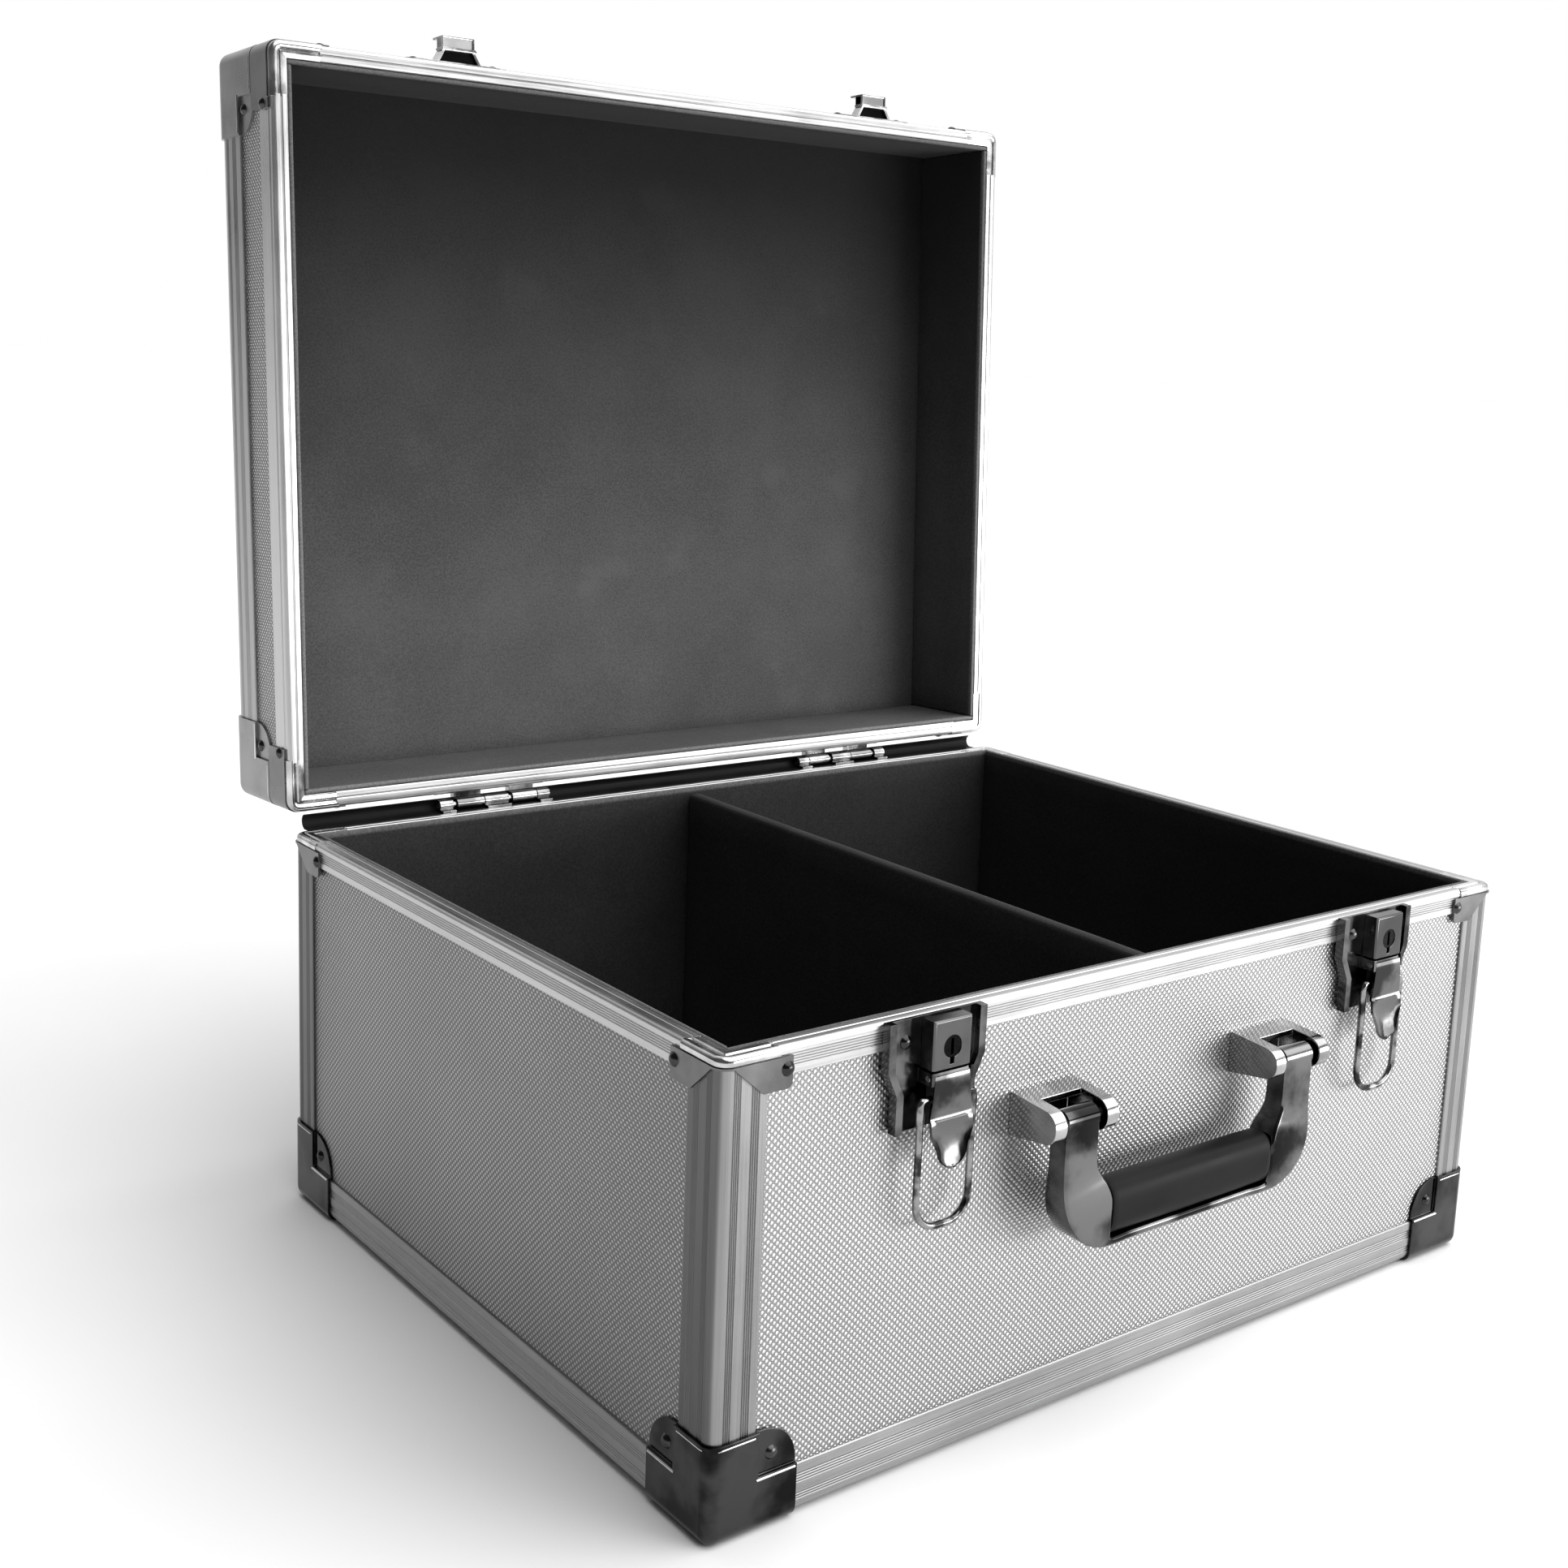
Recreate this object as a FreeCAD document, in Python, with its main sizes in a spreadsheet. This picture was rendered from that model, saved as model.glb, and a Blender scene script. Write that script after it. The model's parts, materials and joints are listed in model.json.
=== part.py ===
import FreeCAD, Part

import math
import os

import Sketcher

# A hinged aluminium-framed carrying case. Millimetres. The origin is at the centre of the footprint on the
# surface that the case stands on, with +X to the right seen from the front, +Y to the back and +Z up.
# Every piece is modelled where it sits with the case closed. The Placement of each lid piece then turns it
# open about the hinge pins.

DIMENSIONS = {
    # overall
    "case_width": 400,
    "case_depth": 320,
    "base_height": 164,
    "lid_height": 60,
    "seam": 0.4,
    "open_angle": 92.5,
    # sheet, board and extruded section
    "cap_sheet": 1,
    "skin": 1.2,
    "board": 3.6,
    "flange": 18,
    "inner_flange": 14,
    "corner_radius": 4.5,
    "lining": 2.8,
    "rim_flange": 10,
    "lid_rim_flange": 14,
    "lid_flange": 24,
    "shelf": 6.8,
    "shelf_sheet": 1.4,
    "rim_overlap": 4,
    "rim_radius": 1.6,
    "lid_radius": 8,
    # corner hardware
    "rim_corner": 22,
    "clamp_leg": 28.5,
    "clamp_depth": 14,
    "clamp_nose": 8,
    "lid_clamp_depth": 20,
    "clamp_point": 16.5,
    "cap_leg": 35.5,
    "cap_step": 19,
    "tab_radius": 14,
    "lid_cap_leg": 39.5,
    "rivet_radius": 2.5,
    "rivet_rise": 1.4,
    "rivet_inset": 25.5,
    # divider
    "divider_thickness": 6.5,
    # hinges
    "hinge_spacing": 202,
    "hinge_length": 56,
    "hinge_back": 5.4,
    "hinge_rise": 2.2,
    "knuckle_radius": 2.6,
    "hinge_pin_radius": 1.4,
    "pin_clearance": 0.05,
    "leaf_height": 22,
    # latches
    "latch_middle": 3.8,
    "latch_spacing": 231.6,
    "plate_offset": 3,
    "plate_width": 42,
    "plate_waist": 34,
    "plate_height": 38.5,
    "plate_shoulder": 16.5,
    "plate_neck": 25,
    "plate_rib": 3,
    "rib_rise": 2.6,
    "housing_width": 16.6,
    "housing_height": 17.6,
    "housing_proud": 7.5,
    "lock_drop": 10.2,
    "lever_width": 15,
    "lever_flare": 18,
    "lever_length": 30.4,
    "lever_bend": 13.8,
    "lever_kick": 2,
    "lever_pivot_drop": 20.2,
    "lever_pivot_proud": 6,
    "lever_barrel_radius": 2.2,
    "lever_pin_radius": 1.1,
    "lever_sheet": 1.2,
    "lug_gap": 0.3,
    "lug_sheet": 1.3,
    "bail_pivot_drop": 7.2,
    "bail_wire_radius": 1.3,
    "bail_half_width": 11.5,
    "bail_length": 45.2,
    "bail_eye_radius": 1.9,
    "keyway": 1.8,
    "cylinder_radius": 3.8,
    # lid catches
    "catch_width": 15.4,
    "catch_base": 21,
    "catch_proud": 12,
    "catch_start": 5.5,
    "catch_seat": 11,
    "catch_lip": 15.5,
    "catch_ears": 50,
    "catch_ear_end": 17,
    # handle
    "handle_middle": -3.9,
    "handle_spacing": 114,
    "bracket_width": 30.5,
    "bracket_height": 16,
    "bracket_top": 127.8,
    "bracket_nose": 6,
    "bracket_base": 9.2,
    "cheek": 5.6,
    "handle_pivot_proud": 15.6,
    "handle_pivot_height": 120.5,
    "handle_pin_radius": 1.8,
    "handle_pin_inset": 1.5,
    "handle_barrel_radius": 4.6,
    "handle_arm": 15.6,
    "handle_drop": 48.9,
    "handle_strap": 3.2,
    "handle_corner": 24,
    "grip_length": 84,
    "grip_height": 20.2,
    "grip_depth": 14,
}


class Size:
    """A length, with the expression that binds it to the sheet."""

    def __init__(self, value, text):
        self.value = value
        self.text = text

    def _with(self, other, sign, value):
        text = other.text if isinstance(other, Size) else repr(other)
        return Size(value, f"({self.text} {sign} {text})")

    def __add__(self, other):
        return self._with(other, "+", self.value + number(other))

    def __sub__(self, other):
        return self._with(other, "-", self.value - number(other))

    def __mul__(self, other):
        return self._with(other, "*", self.value * number(other))

    def __truediv__(self, other):
        return self._with(other, "/", self.value / number(other))

    def __radd__(self, other):
        return Size(other, repr(other)) + self

    def __rsub__(self, other):
        return Size(other, repr(other)) - self

    def __rmul__(self, other):
        return self * other

    def __neg__(self):
        return self * -1


def number(size):
    return size.value if isinstance(size, Size) else size


def bind(thing, path, size):
    """Sets a property from a size and keeps it bound to the sheet."""
    if isinstance(size, Size):
        thing.setExpression(path, size.text)
    else:
        thing.setExpression(path, repr(float(size)))


doc = FreeCAD.newDocument("Case")
sheet = doc.addObject("Spreadsheet::Sheet", "dims")
for row, (name, value) in enumerate(DIMENSIONS.items(), start=1):
    sheet.set(f"A{row}", name)
    sheet.set(f"B{row}", str(value))
    sheet.setAlias(f"B{row}", name)
doc.recompute()


def dim(name):
    return Size(float(sheet.get(name)), f"dims.{name}")


V = FreeCAD.Vector
nodes = []

# Levels and faces that many pieces share. A wall is, from the outside in: the skin flange of the extrusion,
# the board, the inner flange of the extrusion and the lining.
SKIN = dim("skin")
BOARD_BACK = SKIN + dim("board")
CORE = BOARD_BACK + SKIN
WALL = CORE + dim("lining")
FLANGE = dim("flange")
RIGHT = dim("case_width") / 2 - dim("cap_sheet")
LEFT = -RIGHT
BACK = dim("case_depth") / 2 - dim("cap_sheet")
FRONT = -BACK
BOTTOM = dim("cap_sheet")
RIM = dim("base_height")
RIM_LOW = RIM - dim("rim_flange")
LID_RIM = RIM + dim("seam")
LID_TOP = LID_RIM + dim("lid_height") - dim("cap_sheet")
EDGE_TOP = BOTTOM + FLANGE
HINGE_Y = BACK + dim("hinge_back")
HINGE_Z = RIM + dim("hinge_rise")


# ---------------------------------------------------------------------------------------- building blocks


def new_body(label):
    body = doc.addObject("PartDesign::Body", "Body")
    body.Label = label
    return body


def origin_plane(body, role):
    return next(f for f in body.Origin.OriginFeatures if f.Role == role)


def outline(body, plane, corners, start):
    """A closed sketch of straight edges on an origin plane of the body, moved along its normal to start."""
    sketch = body.newObject("Sketcher::SketchObject", "Outline")
    sketch.AttachmentSupport = (origin_plane(body, f"{plane}_Plane"), [""])
    sketch.MapMode = "FlatFace"
    bind(sketch, "AttachmentOffset.Base.z", -start if plane == "XZ" else start)
    points = [V(number(a), number(b), 0) for a, b in corners]
    count = len(points)
    for i in range(count):
        sketch.addGeometry(Part.LineSegment(points[i], points[(i + 1) % count]), False)
    for i in range(count):
        sketch.addConstraint(Sketcher.Constraint("Coincident", i, 2, (i + 1) % count, 1))
    for i, (a, b) in enumerate(corners):
        across = sketch.addConstraint(Sketcher.Constraint("DistanceX", -1, 1, i, 1, number(a)))
        bind(sketch, f"Constraints[{across}]", a)
        up = sketch.addConstraint(Sketcher.Constraint("DistanceY", -1, 1, i, 1, number(b)))
        bind(sketch, f"Constraints[{up}]", b)
    return sketch


def extrude(body, kind, plane, corners, start, end):
    """A Pad or Pocket of an outline from start to end along the axis that the plane's name leaves out."""
    sketch = outline(body, plane, corners, start)
    feature = body.newObject(f"PartDesign::{kind}", kind)
    feature.Profile = sketch
    bind(feature, "Length", end - start)
    feature.Reversed = (plane == "XZ") != (kind == "Pocket")
    return feature


def rectangle(a0, b0, a1, b1):
    return [(a0, b0), (a1, b0), (a1, b1), (a0, b1)]


def slab(label, x, y, z):
    """A rectangular sheet or bar as a body. x, y and z are (low, high) pairs."""
    body = new_body(label)
    extrude(body, "Pad", "XY", rectangle(x[0], y[0], x[1], y[1]), z[0], z[1])
    return body


def box(x, y, z):
    """A Part box. x, y and z are (low, high) pairs."""
    piece = doc.addObject("Part::Box", "Box")
    for side, axis, (low, high) in zip(("Length", "Width", "Height"), "xyz", (x, y, z), strict=True):
        bind(piece, side, high - low)
        bind(piece, f"Placement.Base.{axis}", low)
    return piece


TURNS = {
    "X": FreeCAD.Rotation(V(0, 1, 0), 90),
    "Y": FreeCAD.Rotation(V(1, 0, 0), -90),
    "Z": FreeCAD.Rotation(),
}


def cylinder(axis, centre, radius, start, end):
    """A Part cylinder along X, Y or Z. centre holds its two coordinates across that axis, in XYZ order."""
    piece = doc.addObject("Part::Cylinder", "Cylinder")
    bind(piece, "Radius", radius)
    bind(piece, "Height", end - start)
    place = {"X": (start, *centre), "Y": (centre[0], start, centre[1]), "Z": (*centre, start)}[axis]
    piece.Placement = FreeCAD.Placement(V(), TURNS[axis])
    for name, coordinate in zip("xyz", place, strict=True):
        bind(piece, f"Placement.Base.{name}", coordinate)
    return piece


def fuse(*pieces):
    whole = doc.addObject("Part::MultiFuse", "Fuse")
    whole.Shapes = list(pieces)
    return whole


def cut(piece, tool):
    rest = doc.addObject("Part::Cut", "Cut")
    rest.Base = piece
    rest.Tool = tool
    return rest


def common(*pieces):
    shared = doc.addObject("Part::MultiCommon", "Common")
    shared.Shapes = list(pieces)
    return shared


def mirrored(piece, normal):
    twin = doc.addObject("Part::Mirroring", "Mirror")
    twin.Source = piece
    twin.Normal = normal
    return twin


def group(*pieces):
    """Separate solids as one sub-part."""
    whole = doc.addObject("Part::Compound", "Group")
    whole.Links = list(pieces)
    return whole


def left_and_right(piece):
    return group(piece, mirrored(piece, V(1, 0, 0)))


def four_corners(piece):
    """The front left piece with its mirror images at the other three corners."""
    front = [piece, mirrored(piece, V(1, 0, 0))]
    return group(*front, *[mirrored(p, V(0, 1, 0)) for p in front])


def edges_at(shape, test):
    """Names of the edges whose ends and middle all pass the test."""
    return [
        f"Edge{i}"
        for i, edge in enumerate(shape.Edges, start=1)
        if all(test(p) for p in [edge.CenterOfMass, *[v.Point for v in edge.Vertexes]])
    ]


def near(a, b):
    return abs(number(a) - number(b)) < 0.01


def round_body(body, radius, test):
    """A PartDesign fillet on the edges of the body that pass the test."""
    doc.recompute()
    base = body.Tip
    feature = body.newObject("PartDesign::Fillet", "Round")
    feature.Base = (base, edges_at(base.Shape, test))
    bind(feature, "Radius", radius)
    return feature


def round_part(piece, rounds):
    """A Part fillet. rounds holds (radius, test) pairs."""
    doc.recompute()
    feature = doc.addObject("Part::Fillet", "Round")
    feature.Base = piece
    feature.Edges = [
        (int(name[4:]), number(radius), number(radius))
        for radius, test in rounds
        for name in edges_at(piece.Shape, test)
    ]
    return feature


def dome(axis, centre, face, sign):
    """A domed rivet head on a face. axis is X, Y or Z, and sign is the way that it stands out."""
    radius, rise = dim("rivet_radius"), dim("rivet_rise")
    sphere = (number(radius) ** 2 + number(rise) ** 2) / (2 * number(rise))
    ball = doc.addObject("Part::Sphere", "Dome")
    ball.Radius = sphere
    middle = number(face) + sign * (number(rise) - sphere)
    point = {"X": (middle, *centre), "Y": (centre[0], middle, centre[1]), "Z": (*centre, middle)}[axis]
    ball.Placement.Base = V(*[number(c) for c in point])
    low, high = (face - rise, face) if sign < 0 else (face, face + rise)
    return common(ball, cylinder(axis, centre, radius, low, high))


OPEN = FreeCAD.Placement(
    V(), FreeCAD.Rotation(V(1, 0, 0), -DIMENSIONS["open_angle"]), V(0, number(HINGE_Y), number(HINGE_Z))
)


def sub_part(name, piece, placement=None):
    """Names a finished sub-part and, for a lid piece, turns it open."""
    piece.Label = name
    if placement:
        piece.Placement = placement
    nodes.append(piece)


# ------------------------------------------------------------------------------------- boards and linings


def base_boards():
    top = RIM - dim("rim_overlap")
    low = BOTTOM + CORE
    for name, y in (("front", FRONT + SKIN), ("back", BACK - BOARD_BACK)):
        sub_part(
            f"base_{name}_panel",
            slab("board", (LEFT + CORE, RIGHT - CORE), (y, y + dim("board")), (low, top)),
        )
    for name, x in (("left", LEFT + SKIN), ("right", RIGHT - BOARD_BACK)):
        sub_part(
            f"base_{name}_panel",
            slab("board", (x, x + dim("board")), (FRONT + CORE, BACK - CORE), (low, top)),
        )
    sub_part(
        "base_bottom_panel",
        slab(
            "board",
            (LEFT + CORE, RIGHT - CORE),
            (FRONT + CORE, BACK - CORE),
            (BOTTOM + SKIN, BOTTOM + BOARD_BACK),
        ),
    )


def lid_boards():
    low = LID_RIM + dim("rim_overlap")
    top = LID_TOP - CORE
    for name, y in (("front", FRONT + SKIN), ("back", BACK - BOARD_BACK)):
        sub_part(
            f"lid_{name}_panel",
            slab("board", (LEFT + CORE, RIGHT - CORE), (y, y + dim("board")), (low, top)),
            OPEN,
        )
    for name, x in (("left", LEFT + SKIN), ("right", RIGHT - BOARD_BACK)):
        sub_part(
            f"lid_{name}_panel",
            slab("board", (x, x + dim("board")), (FRONT + CORE, BACK - CORE), (low, top)),
            OPEN,
        )
    sub_part(
        "lid_top_panel",
        slab(
            "board",
            (LEFT + CORE, RIGHT - CORE),
            (FRONT + CORE, BACK - CORE),
            (LID_TOP - BOARD_BACK, LID_TOP - SKIN),
        ),
        OPEN,
    )


def wall_lining(low, high):
    """Four felt-covered sheets that line the walls, the side sheets between the front and back ones."""
    front = box((LEFT + CORE, RIGHT - CORE), (FRONT + CORE, FRONT + WALL), (low, high))
    left = box((LEFT + CORE, LEFT + WALL), (FRONT + WALL, BACK - WALL), (low, high))
    return group(front, mirrored(front, V(0, 1, 0)), left, mirrored(left, V(1, 0, 0)))


def linings():
    inside_x = (LEFT + CORE, RIGHT - CORE)
    inside_y = (FRONT + CORE, BACK - CORE)
    floor = BOTTOM + WALL
    sub_part("base_floor_lining", slab("felt", inside_x, inside_y, (BOTTOM + CORE, floor)))
    sub_part("base_wall_lining", wall_lining(floor, RIM - dim("shelf_sheet")))
    ceiling = LID_TOP - WALL
    sub_part("lid_top_lining", slab("felt", inside_x, inside_y, (ceiling, LID_TOP - CORE)), OPEN)
    sub_part("lid_wall_lining", wall_lining(LID_RIM + dim("shelf_sheet"), ceiling), OPEN)
    half = dim("divider_thickness") / 2
    divider = slab("felt", (-half, half), (FRONT + WALL, BACK - WALL), (floor, RIM - 2 * dim("shelf_sheet")))
    round_body(divider, half * 0.6, lambda p: near(p.z, RIM - 2 * dim("shelf_sheet")) and abs(p.x) > 1)
    sub_part("divider", divider)


# --------------------------------------------------------------------------------------- edge extrusions


def slotted_angle(origin, sense, legs):
    """The angle section that holds two boards in its slots, as an outline.

    origin is its outer corner, sense the direction of each leg and legs their lengths.
    """
    inner = dim("inner_flange")
    points = [
        (0, 0),
        (legs[0], 0),
        (legs[0], SKIN),
        (CORE, SKIN),
        (CORE, BOARD_BACK),
        (inner, BOARD_BACK),
        (inner, CORE),
        (CORE, CORE),
        (CORE, inner),
        (BOARD_BACK, inner),
        (BOARD_BACK, CORE),
        (SKIN, CORE),
        (SKIN, legs[1]),
        (0, legs[1]),
    ]
    return [(origin[0] + a * sense[0], origin[1] + b * sense[1]) for a, b in points]


def corner_post(low, high):
    body = new_body("post")
    extrude(body, "Pad", "XY", slotted_angle((LEFT, FRONT), (1, 1), (FLANGE, FLANGE)), low, high)
    round_body(body, dim("corner_radius"), lambda p: near(p.x, LEFT) and near(p.y, FRONT))
    return body


def edge_bar(side, level, up, leg, radius):
    """A horizontal edge extrusion along one side, with its upright leg going up or down from level."""
    body = new_body("bar")
    if side in ("front", "back"):
        face, inward = (FRONT, 1) if side == "front" else (BACK, -1)
        section = slotted_angle((face, level), (inward, up), (FLANGE, leg))
        extrude(body, "Pad", "YZ", section, LEFT + radius, RIGHT - radius)
        round_body(body, radius, lambda p: near(p.y, face) and near(p.z, level))
    else:
        face, inward = (LEFT, 1) if side == "left" else (RIGHT, -1)
        section = slotted_angle((face, level), (inward, up), (FLANGE, leg))
        extrude(body, "Pad", "XZ", section, FRONT + FLANGE, BACK - FLANGE)
        round_body(body, radius, lambda p: near(p.x, face) and near(p.z, level))
    return body


def rim_section(face, inward, level, down, flange):
    """The rim section over the top edge of a board: skin flange, web, inner flange and shelf."""
    shelf = dim("shelf_sheet")
    points = [
        (0, flange),
        (SKIN, flange),
        (SKIN, dim("rim_overlap")),
        (BOARD_BACK, dim("rim_overlap")),
        (BOARD_BACK, flange),
        (CORE, flange),
        (CORE, shelf),
        (dim("shelf"), shelf),
        (dim("shelf"), 0),
        (0, 0),
    ]
    return [(face + a * inward, level + b * down) for a, b in points]


def rim_bar(side, level, down, flange):
    body = new_body("rim")
    end = dim("rim_corner") - dim("cap_sheet")
    if side in ("front", "back"):
        face, inward = (FRONT, 1) if side == "front" else (BACK, -1)
        extrude(body, "Pad", "YZ", rim_section(face, inward, level, down, flange), LEFT + end, RIGHT - end)
        round_body(body, dim("rim_radius"), lambda p: near(p.y, face) and near(p.z, level))
    else:
        face, inward = (LEFT, 1) if side == "left" else (RIGHT, -1)
        extrude(body, "Pad", "XZ", rim_section(face, inward, level, down, flange), FRONT + end, BACK - end)
        round_body(body, dim("rim_radius"), lambda p: near(p.x, face) and near(p.z, level))
    return body


def extrusions():
    sides = ("front", "back", "left", "right")
    sub_part("base_corner_posts", four_corners(corner_post(EDGE_TOP, RIM_LOW)))
    lid_post = corner_post(LID_RIM + dim("lid_rim_flange"), LID_TOP - dim("lid_flange"))
    sub_part("lid_corner_posts", four_corners(lid_post), OPEN)
    for side in sides:
        sub_part(f"base_bottom_edge_{side}", edge_bar(side, BOTTOM, 1, FLANGE, dim("corner_radius")))
        sub_part(f"base_rim_{side}", rim_bar(side, RIM, -1, dim("rim_flange")))
        sub_part(
            f"lid_top_edge_{side}", edge_bar(side, LID_TOP, -1, dim("lid_flange"), dim("lid_radius")), OPEN
        )
        sub_part(f"lid_rim_{side}", rim_bar(side, LID_RIM, 1, dim("lid_rim_flange")), OPEN)


# ---------------------------------------------------------------------------------------- corner hardware


def angle_outline(outer, inner, reach):
    """An L outline in plan at the front left corner, between two depths from the outer faces."""
    return [
        (LEFT + outer, FRONT + outer),
        (LEFT + reach, FRONT + outer),
        (LEFT + reach, FRONT + inner),
        (LEFT + inner, FRONT + inner),
        (LEFT + inner, FRONT + reach),
        (LEFT + outer, FRONT + reach),
    ]


def span(level, down, a, b):
    """The (low, high) levels between two depths a and b from a rim, measured down from it or up."""
    ends = (level + a * down, level + b * down)
    return ends if down > 0 else ends[::-1]


def upright_corner(level, height):
    """A tall block whose upright edge at the front left corner is rounded, to trim a rim corner with."""
    reach = dim("rim_corner")
    block = box((LEFT, LEFT + reach), (FRONT, FRONT + reach), (level - height, level + height))
    return round_part(block, [(dim("corner_radius"), lambda p: near(p.x, LEFT) and near(p.y, FRONT))])


def rim_corner(level, down, flange):
    """The corner piece that joins two rim bars: the rim section turned round the corner."""
    reach = dim("rim_corner") - dim("cap_sheet")
    body = new_body("corner")
    layers = [
        (0, SKIN, flange),
        (SKIN, CORE, dim("rim_overlap")),
        (BOARD_BACK, CORE, flange),
        (CORE, dim("shelf"), dim("shelf_sheet")),
    ]
    for outer, inner, depth in layers:
        extrude(body, "Pad", "XY", angle_outline(outer, inner, reach), *span(level, down, 0, depth))
    return common(body, upright_corner(level, flange))


def rim_clamp(level, down, depth, nose):
    """The sheet clamp round a rim corner, with both lower corners cut back towards the case's own corner.

    depth is how far it reaches from the rim, and nose its depth at the corner itself.
    """
    sheet_t = dim("cap_sheet")
    leg = dim("clamp_leg") - sheet_t
    radius = dim("corner_radius")
    body = new_body("clamp")
    extrude(body, "Pad", "XY", angle_outline(-sheet_t, 0, leg), *span(level, down, sheet_t, depth))
    outside = LEFT - sheet_t
    round_body(body, radius, lambda p: near(p.x, LEFT) and near(p.y, FRONT))
    round_body(body, radius + sheet_t, lambda p: near(p.x, outside) and near(p.y, FRONT - sheet_t))
    levels = [level + nose * down, level + depth * down, level + (depth + 1) * down]
    reaches = [-2 * sheet_t, 1.5 * sheet_t, dim("clamp_point")]
    for plane, corner in (("XZ", LEFT), ("YZ", FRONT)):
        below = [
            (corner + reaches[0], levels[0]),
            (corner + reaches[1], levels[0]),
            (corner + reaches[2], levels[1]),
            (corner + reaches[2], levels[2]),
            (corner + reaches[0], levels[2]),
        ]
        other = FRONT if plane == "XZ" else LEFT
        extrude(body, "Pocket", plane, below, other - 2 * sheet_t, other)
    return body


def rounded_block(low, high, radii):
    """A block with its three edges at the front left corner of the given end rounded."""
    block = box(*[(low[i], high[i]) for i in range(3)])
    upright, level = radii
    end = low[2]
    return round_part(
        block,
        [
            (upright, lambda p: near(p.x, low[0]) and near(p.y, low[1])),
            (level, lambda p: near(p.z, end) and (near(p.x, low[0]))),
            (level, lambda p: near(p.z, end) and (near(p.y, low[1]))),
        ],
    )


def corner_cap(height, up_step, level_radius):
    """A pressed cap of sheet over three faces at a corner, drawn with its outer corner at the bottom.

    Each face steps down to a rounded tab that is riveted to the board, and up_step is the height of that
    step on the two walls. The cap is made at the front left bottom corner of the case, and the lid's caps
    are the same shape upside down.
    """
    sheet_t = dim("cap_sheet")
    leg = dim("cap_leg")
    step = dim("cap_step")
    board_face = sheet_t + SKIN
    radius = dim("corner_radius")
    x0, y0 = LEFT - sheet_t, FRONT - sheet_t
    outer = rounded_block((x0, y0, 0), (x0 + leg, y0 + leg, height), (radius + 0.5, level_radius + 0.5))
    inner = rounded_block(
        (x0 + sheet_t, y0 + sheet_t, sheet_t),
        (x0 + leg + 1, y0 + leg + 1, height + 1),
        (radius - 0.5, level_radius - 0.5),
    )
    shell = cut(outer, inner)
    lip = sheet_t
    far = leg + 1
    windows = [
        box((x0 + step, x0 + far), (y0 - 1, y0 + sheet_t), (up_step, height + 1)),
        box((x0 - 1, x0 + sheet_t), (y0 + step, y0 + far), (up_step, height + 1)),
        box((x0 + step, x0 + far), (y0 + step, y0 + far), (-1, sheet_t)),
    ]
    rest = cut(shell, fuse(*windows))
    top = height
    walls = [
        box((x0 + step, x0 + step + lip), (y0, y0 + board_face), (up_step, top)),
        box((x0 + step, x0 + leg), (y0, y0 + board_face), (up_step, up_step + lip)),
        box((x0, x0 + board_face), (y0 + step, y0 + step + lip), (up_step, top)),
        box((x0, x0 + board_face), (y0 + step, y0 + leg), (up_step, up_step + lip)),
        box((x0 + step, x0 + step + lip), (y0 + step, y0 + leg), (0, board_face)),
        box((x0 + step, x0 + leg), (y0 + step, y0 + step + lip), (0, board_face)),
    ]
    tab_low = board_face - sheet_t
    tabs = [
        (
            box((x0 + step, x0 + leg), (y0 + tab_low, y0 + board_face), (up_step, top)),
            lambda p: near(p.x, x0 + leg) and near(p.z, top),
        ),
        (
            box((x0 + tab_low, x0 + board_face), (y0 + step, y0 + leg), (up_step, top)),
            lambda p: near(p.y, y0 + leg) and near(p.z, top),
        ),
        (
            box((x0 + step, x0 + leg), (y0 + step, y0 + leg), (tab_low, board_face)),
            lambda p: near(p.x, x0 + leg) and near(p.y, y0 + leg),
        ),
    ]
    rounded_tabs = [round_part(tab, [(dim("tab_radius"), test)]) for tab, test in tabs]
    return fuse(rest, *walls, *rounded_tabs)


def upside_down(piece, level):
    """Mirrors a piece made at the floor so that its underside lies at a level and it hangs down from it."""
    flipped = mirrored(piece, V(0, 0, 1))
    flipped.Base = V(0, 0, number(level) / 2)
    return flipped


def corners():
    base_corner = rim_corner(RIM, -1, dim("rim_flange"))
    base_clamp = rim_clamp(RIM, -1, dim("clamp_depth"), dim("clamp_nose"))
    sub_part("base_rim_corners", group(four_corners(base_corner), four_corners(base_clamp)))
    lid_corner = rim_corner(LID_RIM, 1, dim("lid_rim_flange"))
    lid_clamp = rim_clamp(LID_RIM, 1, dim("lid_clamp_depth"), dim("lid_clamp_depth"))
    sub_part("lid_rim_corners", group(four_corners(lid_corner), four_corners(lid_clamp)), OPEN)
    base_cap = corner_cap(dim("cap_leg"), dim("cap_step"), dim("corner_radius"))
    sub_part("base_corner_caps", four_corners(base_cap))
    lid_step = dim("lid_flange") + dim("cap_sheet")
    lid_cap = corner_cap(dim("lid_cap_leg"), lid_step, dim("lid_radius"))
    lid_cap = upside_down(lid_cap, LID_TOP + dim("cap_sheet"))
    sub_part("lid_corner_caps", four_corners(lid_cap), OPEN)


# ---------------------------------------------------------------------------------------------- hinges

# Knuckles of one hinge along its length, as (start, end), and whether each belongs to the lid leaf.
KNUCKLES = [(0, 6.6, False), (8.6, 22.3, True), (22.6, 34.6, False), (36.6, 49.4, True), (49.7, 56, False)]


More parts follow.
